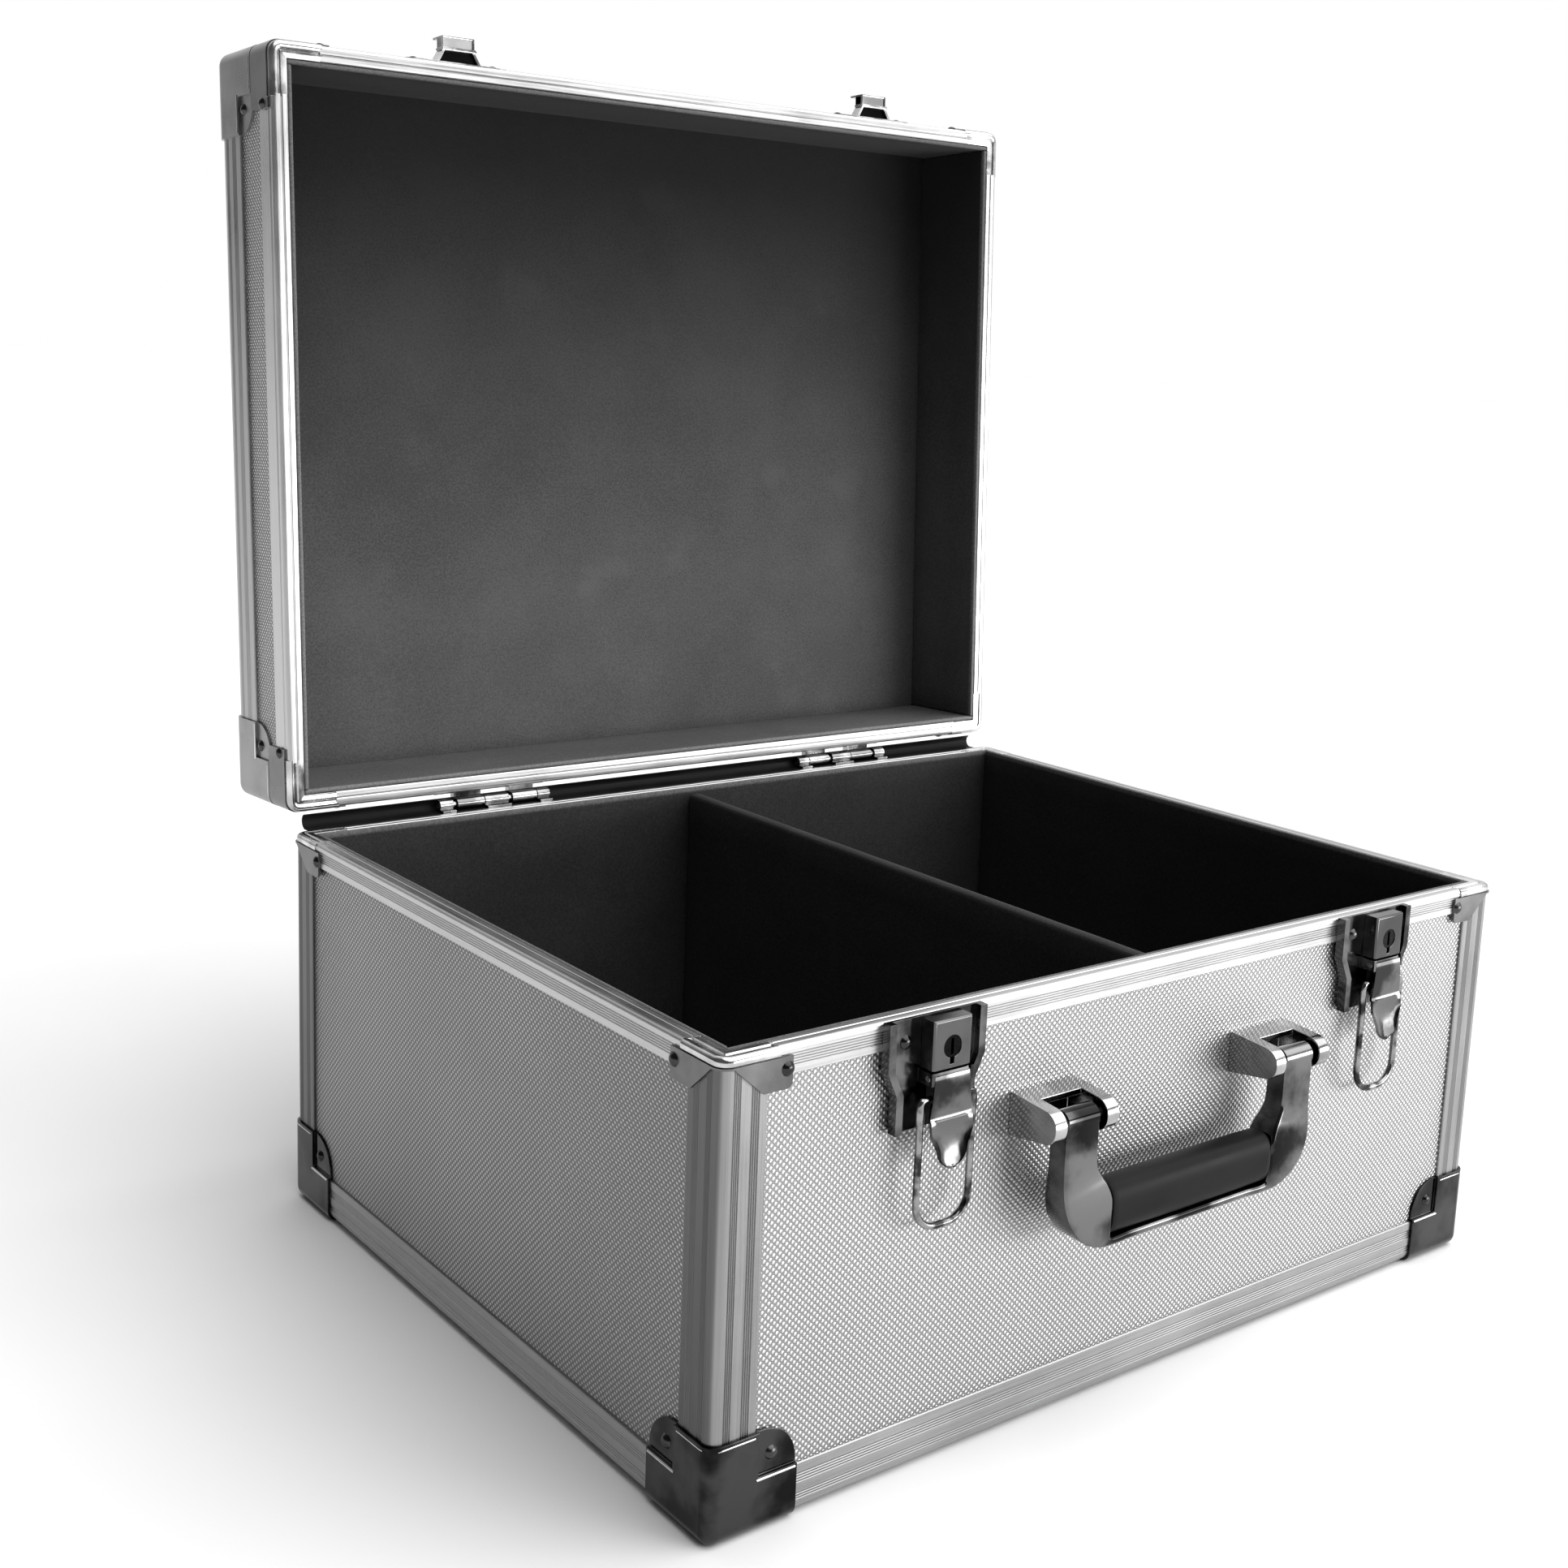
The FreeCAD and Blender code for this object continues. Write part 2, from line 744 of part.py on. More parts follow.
def hinge_leaf(for_lid):
    left_end = -(dim("hinge_spacing") + dim("hinge_length")) / 2
    right_end = left_end + dim("hinge_length")
    radius = dim("knuckle_radius")
    bore = dim("hinge_pin_radius") + (dim("pin_clearance") if for_lid else 0)
    if for_lid:
        low = HINGE_Z + radius + SKIN
        plate_z = (low, low + dim("leaf_height"))
        arm_z = (HINGE_Z + radius * 0.6, low + SKIN)
        backing_z = (LID_RIM + dim("lid_rim_flange"), plate_z[1])
    else:
        high = RIM - SKIN
        plate_z = (high - dim("leaf_height"), high)
        arm_z = (high - SKIN, HINGE_Z - radius * 0.6)
        backing_z = (plate_z[0], RIM_LOW)
    pieces = [
        box((left_end, right_end), (BACK, BACK + SKIN), plate_z),
        box((left_end + SKIN, right_end - SKIN), (BACK - SKIN, BACK), backing_z),
    ]
    for start, end, lid_knuckle in KNUCKLES:
        if lid_knuckle == for_lid:
            x = (left_end + start, left_end + end)
            pieces.append(cylinder("X", (HINGE_Y, HINGE_Z), radius, *x))
            pieces.append(box(x, (BACK + 0.2, HINGE_Y), arm_z))
    return cut(fuse(*pieces), cylinder("X", (HINGE_Y, HINGE_Z), bore, left_end - 1, right_end + 1))


def hinges():
    sub_part("hinge_base_leaves", left_and_right(hinge_leaf(False)))
    sub_part("hinge_lid_leaves", left_and_right(hinge_leaf(True)), OPEN)
    start = -(dim("hinge_spacing") + dim("hinge_length")) / 2
    pin = cylinder("X", (HINGE_Y, HINGE_Z), dim("hinge_pin_radius"), start, start + dim("hinge_length"))
    sub_part("hinge_pins", left_and_right(pin))


# ---------------------------------------------------------------------------------------------- latches

LATCH_PLATE_FACE = FRONT - SKIN
LEVER_Y = FRONT - dim("lever_pivot_proud")
LEVER_Z = RIM - dim("lever_pivot_drop")
BAIL_Z = LEVER_Z - dim("bail_pivot_drop")
HOUSING_FACE = LATCH_PLATE_FACE - dim("housing_proud") + SKIN
HOUSING_TOP = RIM - 0.6
LOCK_Z = RIM - dim("lock_drop")
LATCH_X = {
    "left": dim("latch_middle") - dim("latch_spacing") / 2,
    "right": dim("latch_middle") + dim("latch_spacing") / 2,
}


def latch_plate(x):
    """The riveted back plate, left of its lever, with a raised rib down each side and lugs for the pin."""
    middle = x - dim("plate_offset")
    half, waist = dim("plate_width") / 2, dim("plate_waist") / 2
    low = RIM - dim("plate_height")
    shoulder, bend = RIM - dim("plate_shoulder"), RIM - dim("plate_neck")

    def edge(inset, mirror):
        points = [(half - inset, RIM), (half - inset, shoulder), (waist - inset, bend), (waist - inset, low)]
        return [(middle + a * mirror, z) for a, z in points]

    body = new_body("plate")
    sides = edge(0, 1) + edge(0, -1)[::-1]
    extrude(body, "Pad", "XZ", sides, LATCH_PLATE_FACE, FRONT)
    rib, rise = dim("plate_rib"), dim("rib_rise")
    for mirror in (1, -1):
        outline_points = edge(0, mirror) + edge(rib, mirror)[::-1]
        extrude(body, "Pad", "XZ", outline_points, LATCH_PLATE_FACE - rise, LATCH_PLATE_FACE)
    backing = rectangle(middle - waist + 1, low + 1, middle + waist - 1, RIM_LOW)
    extrude(body, "Pad", "XZ", backing, FRONT, FRONT + SKIN)
    lug = dim("lever_width") / 2 + dim("lug_gap")
    lug_radius = dim("lever_barrel_radius")
    for side in (1, -1):
        start, end = sorted((x + lug * side, x + (lug + dim("lug_sheet")) * side), key=number)
        lug_low, lug_high = LEVER_Z - lug_radius, LEVER_Z + lug_radius
        lug_outline = rectangle(LEVER_Y - lug_radius, lug_low, LATCH_PLATE_FACE, lug_high)
        extrude(body, "Pad", "YZ", lug_outline, start, end)
    hole = cylinder("X", (LEVER_Y, LEVER_Z), dim("lever_pin_radius"), x - half, x + half)
    return cut(body, hole)


def lock_housing(x):
    """A bent sheet box over the lock, open at the back and at the bottom, with a keyhole."""
    half = dim("housing_width") / 2
    low = RIM - dim("housing_height")
    body = new_body("housing")
    outside = rectangle(HOUSING_FACE, low, LATCH_PLATE_FACE, HOUSING_TOP)
    extrude(body, "Pad", "YZ", outside, x - half, x + half)
    inside = rectangle(HOUSING_FACE + SKIN, low - 1, LATCH_PLATE_FACE, HOUSING_TOP - SKIN)
    extrude(body, "Pocket", "YZ", inside, x - half + SKIN, x + half - SKIN)
    front_edges = lambda p: near(p.z, HOUSING_TOP) or near(abs(p.x - number(x)), half)
    round_body(body, 1, lambda p: near(p.y, HOUSING_FACE) and front_edges(p))
    bore = dim("cylinder_radius") + dim("pin_clearance")
    slot = dim("keyway") / 2
    through = (HOUSING_FACE - 1, HOUSING_FACE + SKIN + 1)
    tools = [
        cylinder("Y", (x, LOCK_Z), bore, *through),
        box((x - slot, x + slot), through, (LOCK_Z - 6, LOCK_Z)),
    ]
    return cut(body, fuse(*tools))


def lock_cylinder(x):
    """The key cylinder, slotted for the key, with a cam at its inner end."""
    front = HOUSING_FACE + 0.3
    radius = dim("cylinder_radius")
    barrel = cylinder("Y", (x, LOCK_Z), radius, front, front + 4)
    stem = cylinder("Y", (x, LOCK_Z), radius / 2, front + 4, LATCH_PLATE_FACE - 0.4)
    cam = box((x - 1.2, x + 1.2), (front + 2.4, front + 4), (LOCK_Z - 6, LOCK_Z))
    keyway = box((x - 0.6, x + 0.6), (front - 1, front + 3), (LOCK_Z - 2.8, LOCK_Z + 2.8))
    return cut(fuse(barrel, stem, cam), keyway)


def latch_lever(x):
    """The folded lever: a barrel round its pin, a front sheet with side wings, and a turned-out tongue."""
    half, flare = dim("lever_width") / 2, dim("lever_flare") / 2
    sheet_t = dim("lever_sheet")
    barrel = dim("lever_barrel_radius")
    face = LEVER_Y - barrel
    bend = LEVER_Z - dim("lever_bend")
    tip = LEVER_Z - dim("lever_length")
    kick = dim("lever_kick")
    profile = [
        (face, LEVER_Z),
        (face, bend),
        (face - kick, tip),
        (face - kick + sheet_t, tip),
        (face + sheet_t, bend),
        (face + sheet_t, LEVER_Z),
    ]
    body = new_body("lever")
    extrude(body, "Pad", "YZ", profile, x - flare, x + flare)
    depth = (FRONT - 20, FRONT)
    tip_radius = flare * 0.7
    tip_z = tip + tip_radius
    front_outline = [
        (x - half, LEVER_Z),
        (x - flare, bend),
        (x - flare, bend - 5),
        (x - tip_radius, tip_z),
        (x + tip_radius, tip_z),
        (x + flare, bend - 5),
        (x + flare, bend),
        (x + half, LEVER_Z),
    ]
    thumb = new_body("thumb")
    extrude(thumb, "Pad", "XZ", front_outline, *depth)
    round_tip = cylinder("Y", (x, tip_z), tip_radius, *depth)
    wing = [
        (face + sheet_t, LEVER_Z - 1),
        (face + sheet_t, bend + 1),
        (LEVER_Y - 0.5, bend + 1),
        (LEVER_Y + barrel, BAIL_Z - 2),
        (LEVER_Y + barrel, LEVER_Z - 1),
    ]
    wings = new_body("wings")
    extrude(wings, "Pad", "YZ", wing, x - half, x - half + sheet_t)
    extrude(wings, "Pad", "YZ", wing, x + half - sheet_t, x + half)
    roll = cylinder("X", (LEVER_Y, LEVER_Z), barrel, x - half, x + half)
    clearance = dim("pin_clearance")
    bores = [
        cylinder("X", (LEVER_Y, LEVER_Z), dim("lever_pin_radius") + clearance, x - 20, x + 20),
        cylinder("X", (LEVER_Y, BAIL_Z), dim("bail_wire_radius") + clearance, x - 20, x + 20),
    ]
    return cut(fuse(common(body, fuse(thumb, round_tip)), wings, roll), fuse(*bores))


def latch_bail(x):
    """The wire bail: a stub and an eye at each side, straight legs and a round bottom."""
    wire = number(dim("bail_wire_radius"))
    half = number(dim("bail_half_width"))
    middle, y, z = number(x), number(LEVER_Y), number(BAIL_Z)
    low = z - number(dim("bail_length"))
    turn = half * 0.8
    centre_z = low + turn
    right, left = middle + half, middle - half
    diagonal = turn * math.sin(math.pi / 4)
    points = {
        "top_right": V(right, y, z),
        "side_right": V(right, y, centre_z),
        "mid_right": V(right - turn + diagonal, y, centre_z - diagonal),
        "bottom_right": V(right - turn, y, low),
        "bottom_left": V(left + turn, y, low),
        "mid_left": V(left + turn - diagonal, y, centre_z - diagonal),
        "side_left": V(left, y, centre_z),
        "top_left": V(left, y, z),
    }
    path = Part.Wire([
        Part.LineSegment(points["top_right"], points["side_right"]).toShape(),
        Part.Arc(points["side_right"], points["mid_right"], points["bottom_right"]).toShape(),
        Part.LineSegment(points["bottom_right"], points["bottom_left"]).toShape(),
        Part.Arc(points["bottom_left"], points["mid_left"], points["side_left"]).toShape(),
        Part.LineSegment(points["side_left"], points["top_left"]).toShape(),
    ])
    ring = Part.Wire([Part.Circle(points["top_right"], V(0, 0, 1), wire).toShape()])
    shape = path.makePipeShell([ring], True, False)
    inner = number(dim("lever_width")) / 2 - number(dim("lever_sheet"))
    eye_radius = number(dim("bail_eye_radius"))
    for side in (1, -1):
        outward = V(side, 0, 0)
        stub = Part.makeCylinder(wire, half - inner, V(middle + side * inner, y, z), outward)
        eye_start = V(middle + side * (half - wire * 0.75), y, z)
        eye = Part.makeCylinder(eye_radius, wire * 1.5, eye_start, outward)
        shape = shape.fuse([stub, eye])
    piece = doc.addObject("Part::Feature", "Bail")
    piece.Shape = shape.removeSplitter()
    return piece


def lid_catch(x):
    """The folded hook on the lid that the bail drops over: a tunnel, a lip above it and a riveted base."""
    half, foot = dim("catch_width") / 2, dim("catch_base") / 2
    front = FRONT - dim("catch_proud")
    low, seat = LID_RIM + dim("catch_start"), LID_RIM + dim("catch_seat")
    face = FRONT - SKIN
    body = new_body("catch")
    tunnel = [(x - foot, face), (x - half, front), (x + half, front), (x + foot, face)]
    extrude(body, "Pad", "XY", tunnel, low, seat)
    hollow = [
        (x - foot + SKIN, face),
        (x - half + SKIN, front + SKIN),
        (x + half - SKIN, front + SKIN),
        (x + foot - SKIN, face),
    ]
    extrude(body, "Pocket", "XY", hollow, low, seat)
    lip = rectangle(x - half, front, x + half, front + SKIN)
    extrude(body, "Pad", "XY", lip, low, LID_RIM + dim("catch_lip"))
    ears = dim("catch_ears") / 2
    top = LID_RIM + dim("catch_ear_end")
    base = box((x - ears, x + ears), (face, FRONT), (low, top))
    rounded = round_part(
        base, [(5, lambda p: near(abs(p.x - number(x)), ears) and (near(p.z, low) or near(p.z, top)))]
    )
    backing_z = (LID_RIM + dim("lid_rim_flange"), top)
    backing = box((x - ears + 4, x + ears - 4), (FRONT, FRONT + SKIN), backing_z)
    return fuse(body, rounded, backing)


def latches():
    for name, x in LATCH_X.items():
        sub_part(f"latch_plate_{name}", latch_plate(x))
        sub_part(f"lock_housing_{name}", lock_housing(x))
        sub_part(f"lock_cylinder_{name}", lock_cylinder(x))
        sub_part(f"latch_lever_{name}", latch_lever(x))
        sub_part(f"latch_bail_{name}", latch_bail(x))
    reach = dim("lever_width") / 2 + dim("lug_gap") + dim("lug_sheet")
    pins = [
        cylinder("X", (LEVER_Y, LEVER_Z), dim("lever_pin_radius"), x - reach, x + reach)
        for x in LATCH_X.values()
    ]
    sub_part("lever_pins", group(*pins))
    sub_part("lid_catches", group(*[lid_catch(x) for x in LATCH_X.values()]), OPEN)


# ---------------------------------------------------------------------------------------------- handle

PIVOT_Y = FRONT - dim("handle_pivot_proud")
PIVOT_Z = dim("handle_pivot_height")
PANEL_FACE = FRONT + SKIN
HANDLE_X = dim("handle_middle")
ARM_X = {"left": HANDLE_X - dim("handle_spacing") / 2, "right": HANDLE_X + dim("handle_spacing") / 2}
HANDLE_LOW = PIVOT_Z - dim("handle_drop")
GRIP_LOW = HANDLE_LOW + dim("handle_strap")


def handle_bracket(x):
    """The cast clevis: a wedge with a rounded nose round the pivot and a window for the handle arm."""
    half = dim("bracket_width") / 2
    nose = dim("bracket_nose")
    top = dim("bracket_top")
    low = top - dim("bracket_height")
    side = [
        (PANEL_FACE, low),
        (PANEL_FACE, top),
        (PIVOT_Y, PIVOT_Z + nose),
        (PIVOT_Y, PIVOT_Z - nose),
    ]
    body = new_body("bracket")
    extrude(body, "Pad", "YZ", side, x - half, x + half)
    nose_round = cylinder("X", (PIVOT_Y, PIVOT_Z), nose, x - half, x + half)
    inner = half - dim("cheek")
    base_face = PANEL_FACE - dim("bracket_base")
    window = box((x - inner, x + inner), (PIVOT_Y - nose - 1, base_face), (low - 1, top + 1))
    recess = box((x - inner, x + inner), (base_face, PANEL_FACE - 3), (low - 1, top - 3))
    pin_end = half - dim("handle_pin_inset")
    hole = cylinder("X", (PIVOT_Y, PIVOT_Z), dim("handle_pin_radius"), x - pin_end, x + pin_end)
    return cut(fuse(body, nose_round), fuse(window, recess, hole))


def handle_frame():
    """The stirrup: two arms that hang from the pins and swell into shoulders, with a strap under the grip."""
    spread = dim("handle_spacing") / 2
    arm = dim("handle_arm") / 2
    depth = dim("handle_barrel_radius")
    grip_end = dim("grip_length") / 2
    shoulder = GRIP_LOW + dim("grip_height")
    outer = spread + arm
    inner = spread - arm
    right_half = [
        (outer, HANDLE_LOW),
        (outer, PIVOT_Z),
        (inner, PIVOT_Z),
        (inner, shoulder + 5),
        (grip_end, shoulder - 2),
        (grip_end, GRIP_LOW),
    ]
    profile = [(HANDLE_X + a, z) for a, z in right_half] + [(HANDLE_X - a, z) for a, z in right_half[::-1]]
    body = new_body("frame")
    extrude(body, "Pad", "XZ", profile, PIVOT_Y - depth, PIVOT_Y + depth)
    round_body(
        body,
        dim("handle_corner"),
        lambda p: near(p.z, HANDLE_LOW) and near(abs(p.x - number(HANDLE_X)), outer),
    )
    barrels = [cylinder("X", (PIVOT_Y, PIVOT_Z), depth, x - arm, x + arm) for x in ARM_X.values()]
    bore_radius = dim("handle_pin_radius") + dim("pin_clearance")
    bore = cylinder("X", (PIVOT_Y, PIVOT_Z), bore_radius, HANDLE_X - outer - 1, HANDLE_X + outer + 1)
    return cut(fuse(body, *barrels), bore)


def handle_grip():
    """The moulded grip on the strap: a bar with a rounded top between the shoulders of the frame."""
    reach = dim("grip_length") / 2
    half = dim("grip_depth") / 2
    high = GRIP_LOW + dim("grip_height")
    body = new_body("grip")
    section = rectangle(PIVOT_Y - half, GRIP_LOW, PIVOT_Y + half, high)
    extrude(body, "Pad", "YZ", section, HANDLE_X - reach, HANDLE_X + reach)
    round_body(body, half * 0.95, lambda p: near(p.z, high))
    return body


def handle():
    for name, x in ARM_X.items():
        sub_part(f"handle_bracket_{name}", handle_bracket(x))
    sub_part("handle_frame", handle_frame())
    sub_part("handle_grip", handle_grip())
    pin_end = dim("bracket_width") / 2 - dim("handle_pin_inset")
    pins = [
        cylinder("X", (PIVOT_Y, PIVOT_Z), dim("handle_pin_radius"), x - pin_end, x + pin_end)
        for x in ARM_X.values()
    ]
    sub_part("handle_pins", group(*pins))


# ---------------------------------------------------------------------------------------------- rivets


def at_both_sides(heads):
    return heads + [mirrored(head, V(1, 0, 0)) for head in heads]


def rivets():
    inset = dim("rivet_inset") - dim("cap_sheet")
    clamp_face = dim("cap_sheet")
    clamp_z = RIM - 7.4
    cap_z = dim("rivet_inset") + 1
    tab_face = SKIN - dim("cap_sheet")
    corner = [
        dome("Y", (LEFT + inset, clamp_z), FRONT - clamp_face, -1),
        dome("X", (FRONT + inset, clamp_z), LEFT - clamp_face, -1),
        dome("Y", (LEFT + inset, cap_z), FRONT + tab_face, -1),
        dome("X", (FRONT + inset, cap_z), LEFT + tab_face, -1),
    ]
    front_corners = at_both_sides(corner)
    heads = front_corners + [mirrored(head, V(0, 1, 0)) for head in front_corners]
    latch_heads = [
        dome("Y", (x + a, RIM - drop), LATCH_PLATE_FACE, -1)
        for x in LATCH_X.values()
        for a, drop in ((-15, 8), (11.5, 8), (0, 34))
    ]
    leaf_x = -dim("hinge_spacing") / 2
    leaf_heads = [dome("Y", (leaf_x + a, RIM - 15), BACK + SKIN, 1) for a in (-20, 0, 20)]
    sub_part("base_rivets", group(*heads, *latch_heads, *at_both_sides(leaf_heads)))

    lid_clamp_z = LID_RIM + 8.5
    lid_cap_z = LID_TOP + dim("cap_sheet") - dim("rivet_inset") - 4
    lid_corner = [
        dome("Y", (LEFT + inset, lid_clamp_z), FRONT - clamp_face, -1),
        dome("X", (FRONT + inset, lid_clamp_z), LEFT - clamp_face, -1),
        dome("Y", (LEFT + inset, lid_cap_z), FRONT + tab_face, -1),
        dome("X", (FRONT + inset, lid_cap_z), LEFT + tab_face, -1),
    ]
    lid_front = at_both_sides(lid_corner)
    lid_heads = lid_front + [mirrored(head, V(0, 1, 0)) for head in lid_front]
    ears = dim("catch_ears") / 2 - 6
    catch_heads = [
        dome("Y", (x + side * ears, LID_RIM + 11), LATCH_PLATE_FACE, -1)
        for x in LATCH_X.values()
        for side in (-1, 1)
    ]
    lid_leaf_heads = [
        dome("Y", (leaf_x + a, HINGE_Z + dim("knuckle_radius") + 13), BACK + SKIN, 1) for a in (-20, 0, 20)
    ]
    sub_part("lid_rivets", group(*lid_heads, *catch_heads, *at_both_sides(lid_leaf_heads)), OPEN)


base_boards()
lid_boards()
linings()
extrusions()
corners()
hinges()
latches()
handle()
rivets()
doc.recompute()

for item in doc.Objects:
    if {"Invalid", "Error"} & set(item.State):
        raise RuntimeError(f"{item.Name} ({item.Label}) failed: {item.State}")
for node in nodes:
    if node.Shape.isNull() or not node.Shape.isValid():
        raise RuntimeError(f"{node.Label} has no valid shape")

os.makedirs("parts", exist_ok=True)
for node in nodes:
    node.Shape.exportStep(f"parts/{node.Label}.step")
print(f"{len(nodes)} sub-parts")
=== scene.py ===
"""An aluminium attache case, open, in a plain pale studio. Every length is in metres."""

import json
import math

import bmesh
import bpy
from mathutils import Matrix, Vector, noise


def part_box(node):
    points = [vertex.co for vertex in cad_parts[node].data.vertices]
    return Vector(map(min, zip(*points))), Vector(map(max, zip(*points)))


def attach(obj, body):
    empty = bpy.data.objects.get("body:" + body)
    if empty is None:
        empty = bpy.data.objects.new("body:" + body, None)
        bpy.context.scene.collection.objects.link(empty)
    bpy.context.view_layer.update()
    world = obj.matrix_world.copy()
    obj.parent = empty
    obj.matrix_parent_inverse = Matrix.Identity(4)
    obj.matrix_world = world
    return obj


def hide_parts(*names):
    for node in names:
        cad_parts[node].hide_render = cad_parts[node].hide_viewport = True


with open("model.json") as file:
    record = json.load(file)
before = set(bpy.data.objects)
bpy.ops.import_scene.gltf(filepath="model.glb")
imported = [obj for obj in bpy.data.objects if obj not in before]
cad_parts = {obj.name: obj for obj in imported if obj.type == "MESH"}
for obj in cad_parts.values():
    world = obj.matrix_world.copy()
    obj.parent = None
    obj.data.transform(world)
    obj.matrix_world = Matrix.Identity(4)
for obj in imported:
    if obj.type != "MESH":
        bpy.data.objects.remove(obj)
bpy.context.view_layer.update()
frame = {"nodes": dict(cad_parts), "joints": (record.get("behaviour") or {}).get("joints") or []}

MM = 0.001

# -------------------------------------------------- sizes from the frame

post_low, post_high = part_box("base_corner_posts")
LEFT, RIGHT = post_low.x, post_high.x
FRONT, BACK = post_low.y, post_high.y
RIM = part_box("base_rim_front")[1].z
RIM_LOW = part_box("base_rim_front")[0].z
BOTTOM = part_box("base_bottom_edge_front")[0].z
EDGE_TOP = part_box("base_bottom_edge_front")[1].z

# Depths from the case's outer faces: an extrusion's skin, the wall's core, and the felt's face.
SKIN = 1.2 * MM
CORE = 6.0 * MM
WALL = 8.8 * MM
FLANGE = EDGE_TOP - BOTTOM
# The rim's shelf turns in over the wall. The rim stops at a corner piece, RIM_CORNER from the corner.
SHELF = 6.8 * MM
SHELF_SHEET = 1.4 * MM
RIM_CORNER = 21.0 * MM
CORNER_RADIUS = 4.5 * MM
LID_RADIUS = 8.0 * MM
SEAM = 0.4 * MM
LID_HEIGHT = 60.0 * MM
LID_FLANGE = 24.0 * MM
LID_RIM_FLANGE = 14.0 * MM
LID_RIM = RIM + SEAM
LID_TOP = LID_RIM + LID_HEIGHT - 1.0 * MM

lid_joint = next(joint for joint in frame["joints"] if joint["name"] == "lid")
HINGE = Vector(lid_joint["pos_m"])
OPEN_ANGLE = math.radians(92.5)
OPEN = Matrix.Translation(HINGE) @ Matrix.Rotation(-OPEN_ANGLE, 4, "X") @ Matrix.Translation(-HINGE)


# -------------------------------------------------- camera, studio


def make_camera():
    data = bpy.data.cameras.new("camera")
    data.lens = 45.36
    data.sensor_width = 36.0
    data.shift_x = -0.0300
    data.shift_y = -0.0541
    data.clip_start = 0.01
    camera = bpy.data.objects.new("camera", data)
    camera.location = (-0.5290, -0.6207, 0.3781)
    camera.rotation_euler = [math.radians(a) for a in (79.767, -2.340, -37.990)]
    bpy.context.scene.collection.objects.link(camera)
    bpy.context.scene.camera = camera


def make_sun():
    """One broad soft light that is as strong far away as near, so that the floor stays evenly pale."""
    data = bpy.data.lights.new("sky_light", "SUN")
    data.energy = 3.0
    data.angle = math.radians(75)
    sun = bpy.data.objects.new("sky_light", data)
    sun.rotation_euler = Vector((-0.35, 0.45, -1.0)).to_track_quat("-Z", "Y").to_euler()
    bpy.context.scene.collection.objects.link(sun)


def soft_light(name, location, target, size, power):
    data = bpy.data.lights.new(name, "AREA")
    data.shape = "RECTANGLE"
    data.size, data.size_y = size
    data.energy = power
    light = bpy.data.objects.new(name, data)
    light.location = location
    aim = Vector(target) - Vector(location)
    light.rotation_euler = aim.to_track_quat("-Z", "Y").to_euler()
    bpy.context.scene.collection.objects.link(light)


def make_world():
    """A pale backdrop, and a room that lights the case more from its right and its back than its left."""
    world = bpy.data.worlds.new("studio")
    world.use_nodes = True
    bpy.context.scene.world = world
    tree = world.node_tree
    background = tree.nodes["Background"]
    coords = tree.nodes.new("ShaderNodeTexCoord")
    spread = tree.nodes.new("ShaderNodeVectorMath")
    spread.operation = "DOT_PRODUCT"
    spread.inputs[1].default_value = (0.80, 0.55, 0.20)
    tree.links.new(coords.outputs["Generated"], spread.inputs[0])
    light_ramp = tree.nodes.new("ShaderNodeMapRange")
    light_ramp.interpolation_type = "SMOOTHSTEP"
    for key, value in (("From Min", -0.15), ("From Max", 0.60), ("To Min", 0.08), ("To Max", 1.0)):
        light_ramp.inputs[key].default_value = value
    tree.links.new(spread.outputs["Value"], light_ramp.inputs["Value"])
    tree.links.new(light_ramp.outputs["Result"], background.inputs["Strength"])
    background.inputs["Color"].default_value = (1.0, 1.0, 1.0, 1.0)
    backdrop = tree.nodes.new("ShaderNodeBackground")
    backdrop.inputs["Color"].default_value = (1.0, 1.0, 1.0, 1.0)
    seen = tree.nodes.new("ShaderNodeLightPath")
    either = tree.nodes.new("ShaderNodeMixShader")
    tree.links.new(seen.outputs["Is Camera Ray"], either.inputs["Fac"])
    tree.links.new(background.outputs[0], either.inputs[1])
    tree.links.new(backdrop.outputs[0], either.inputs[2])
    tree.links.new(either.outputs[0], tree.nodes["World Output"].inputs["Surface"])


def make_floor():
    mesh = bpy.data.meshes.new("floor")
    reach = 20.0
    corners = [(-reach, -reach, 0), (reach, -reach, 0), (reach, reach, 0), (-reach, reach, 0)]
    mesh.from_pydata(corners, [], [(0, 1, 2, 3)])
    floor = bpy.data.objects.new("floor", mesh)
    bpy.context.scene.collection.objects.link(floor)
    paint = Finish("floor_paper", metallic=0.0, roughness=0.85)
    paint.colour(paint.noise(3.0), 0.86, 0.90)
    mesh.materials.append(paint.material)


# -------------------------------------------------- materials


NOISE_RANGE = (0.3, 0.7)


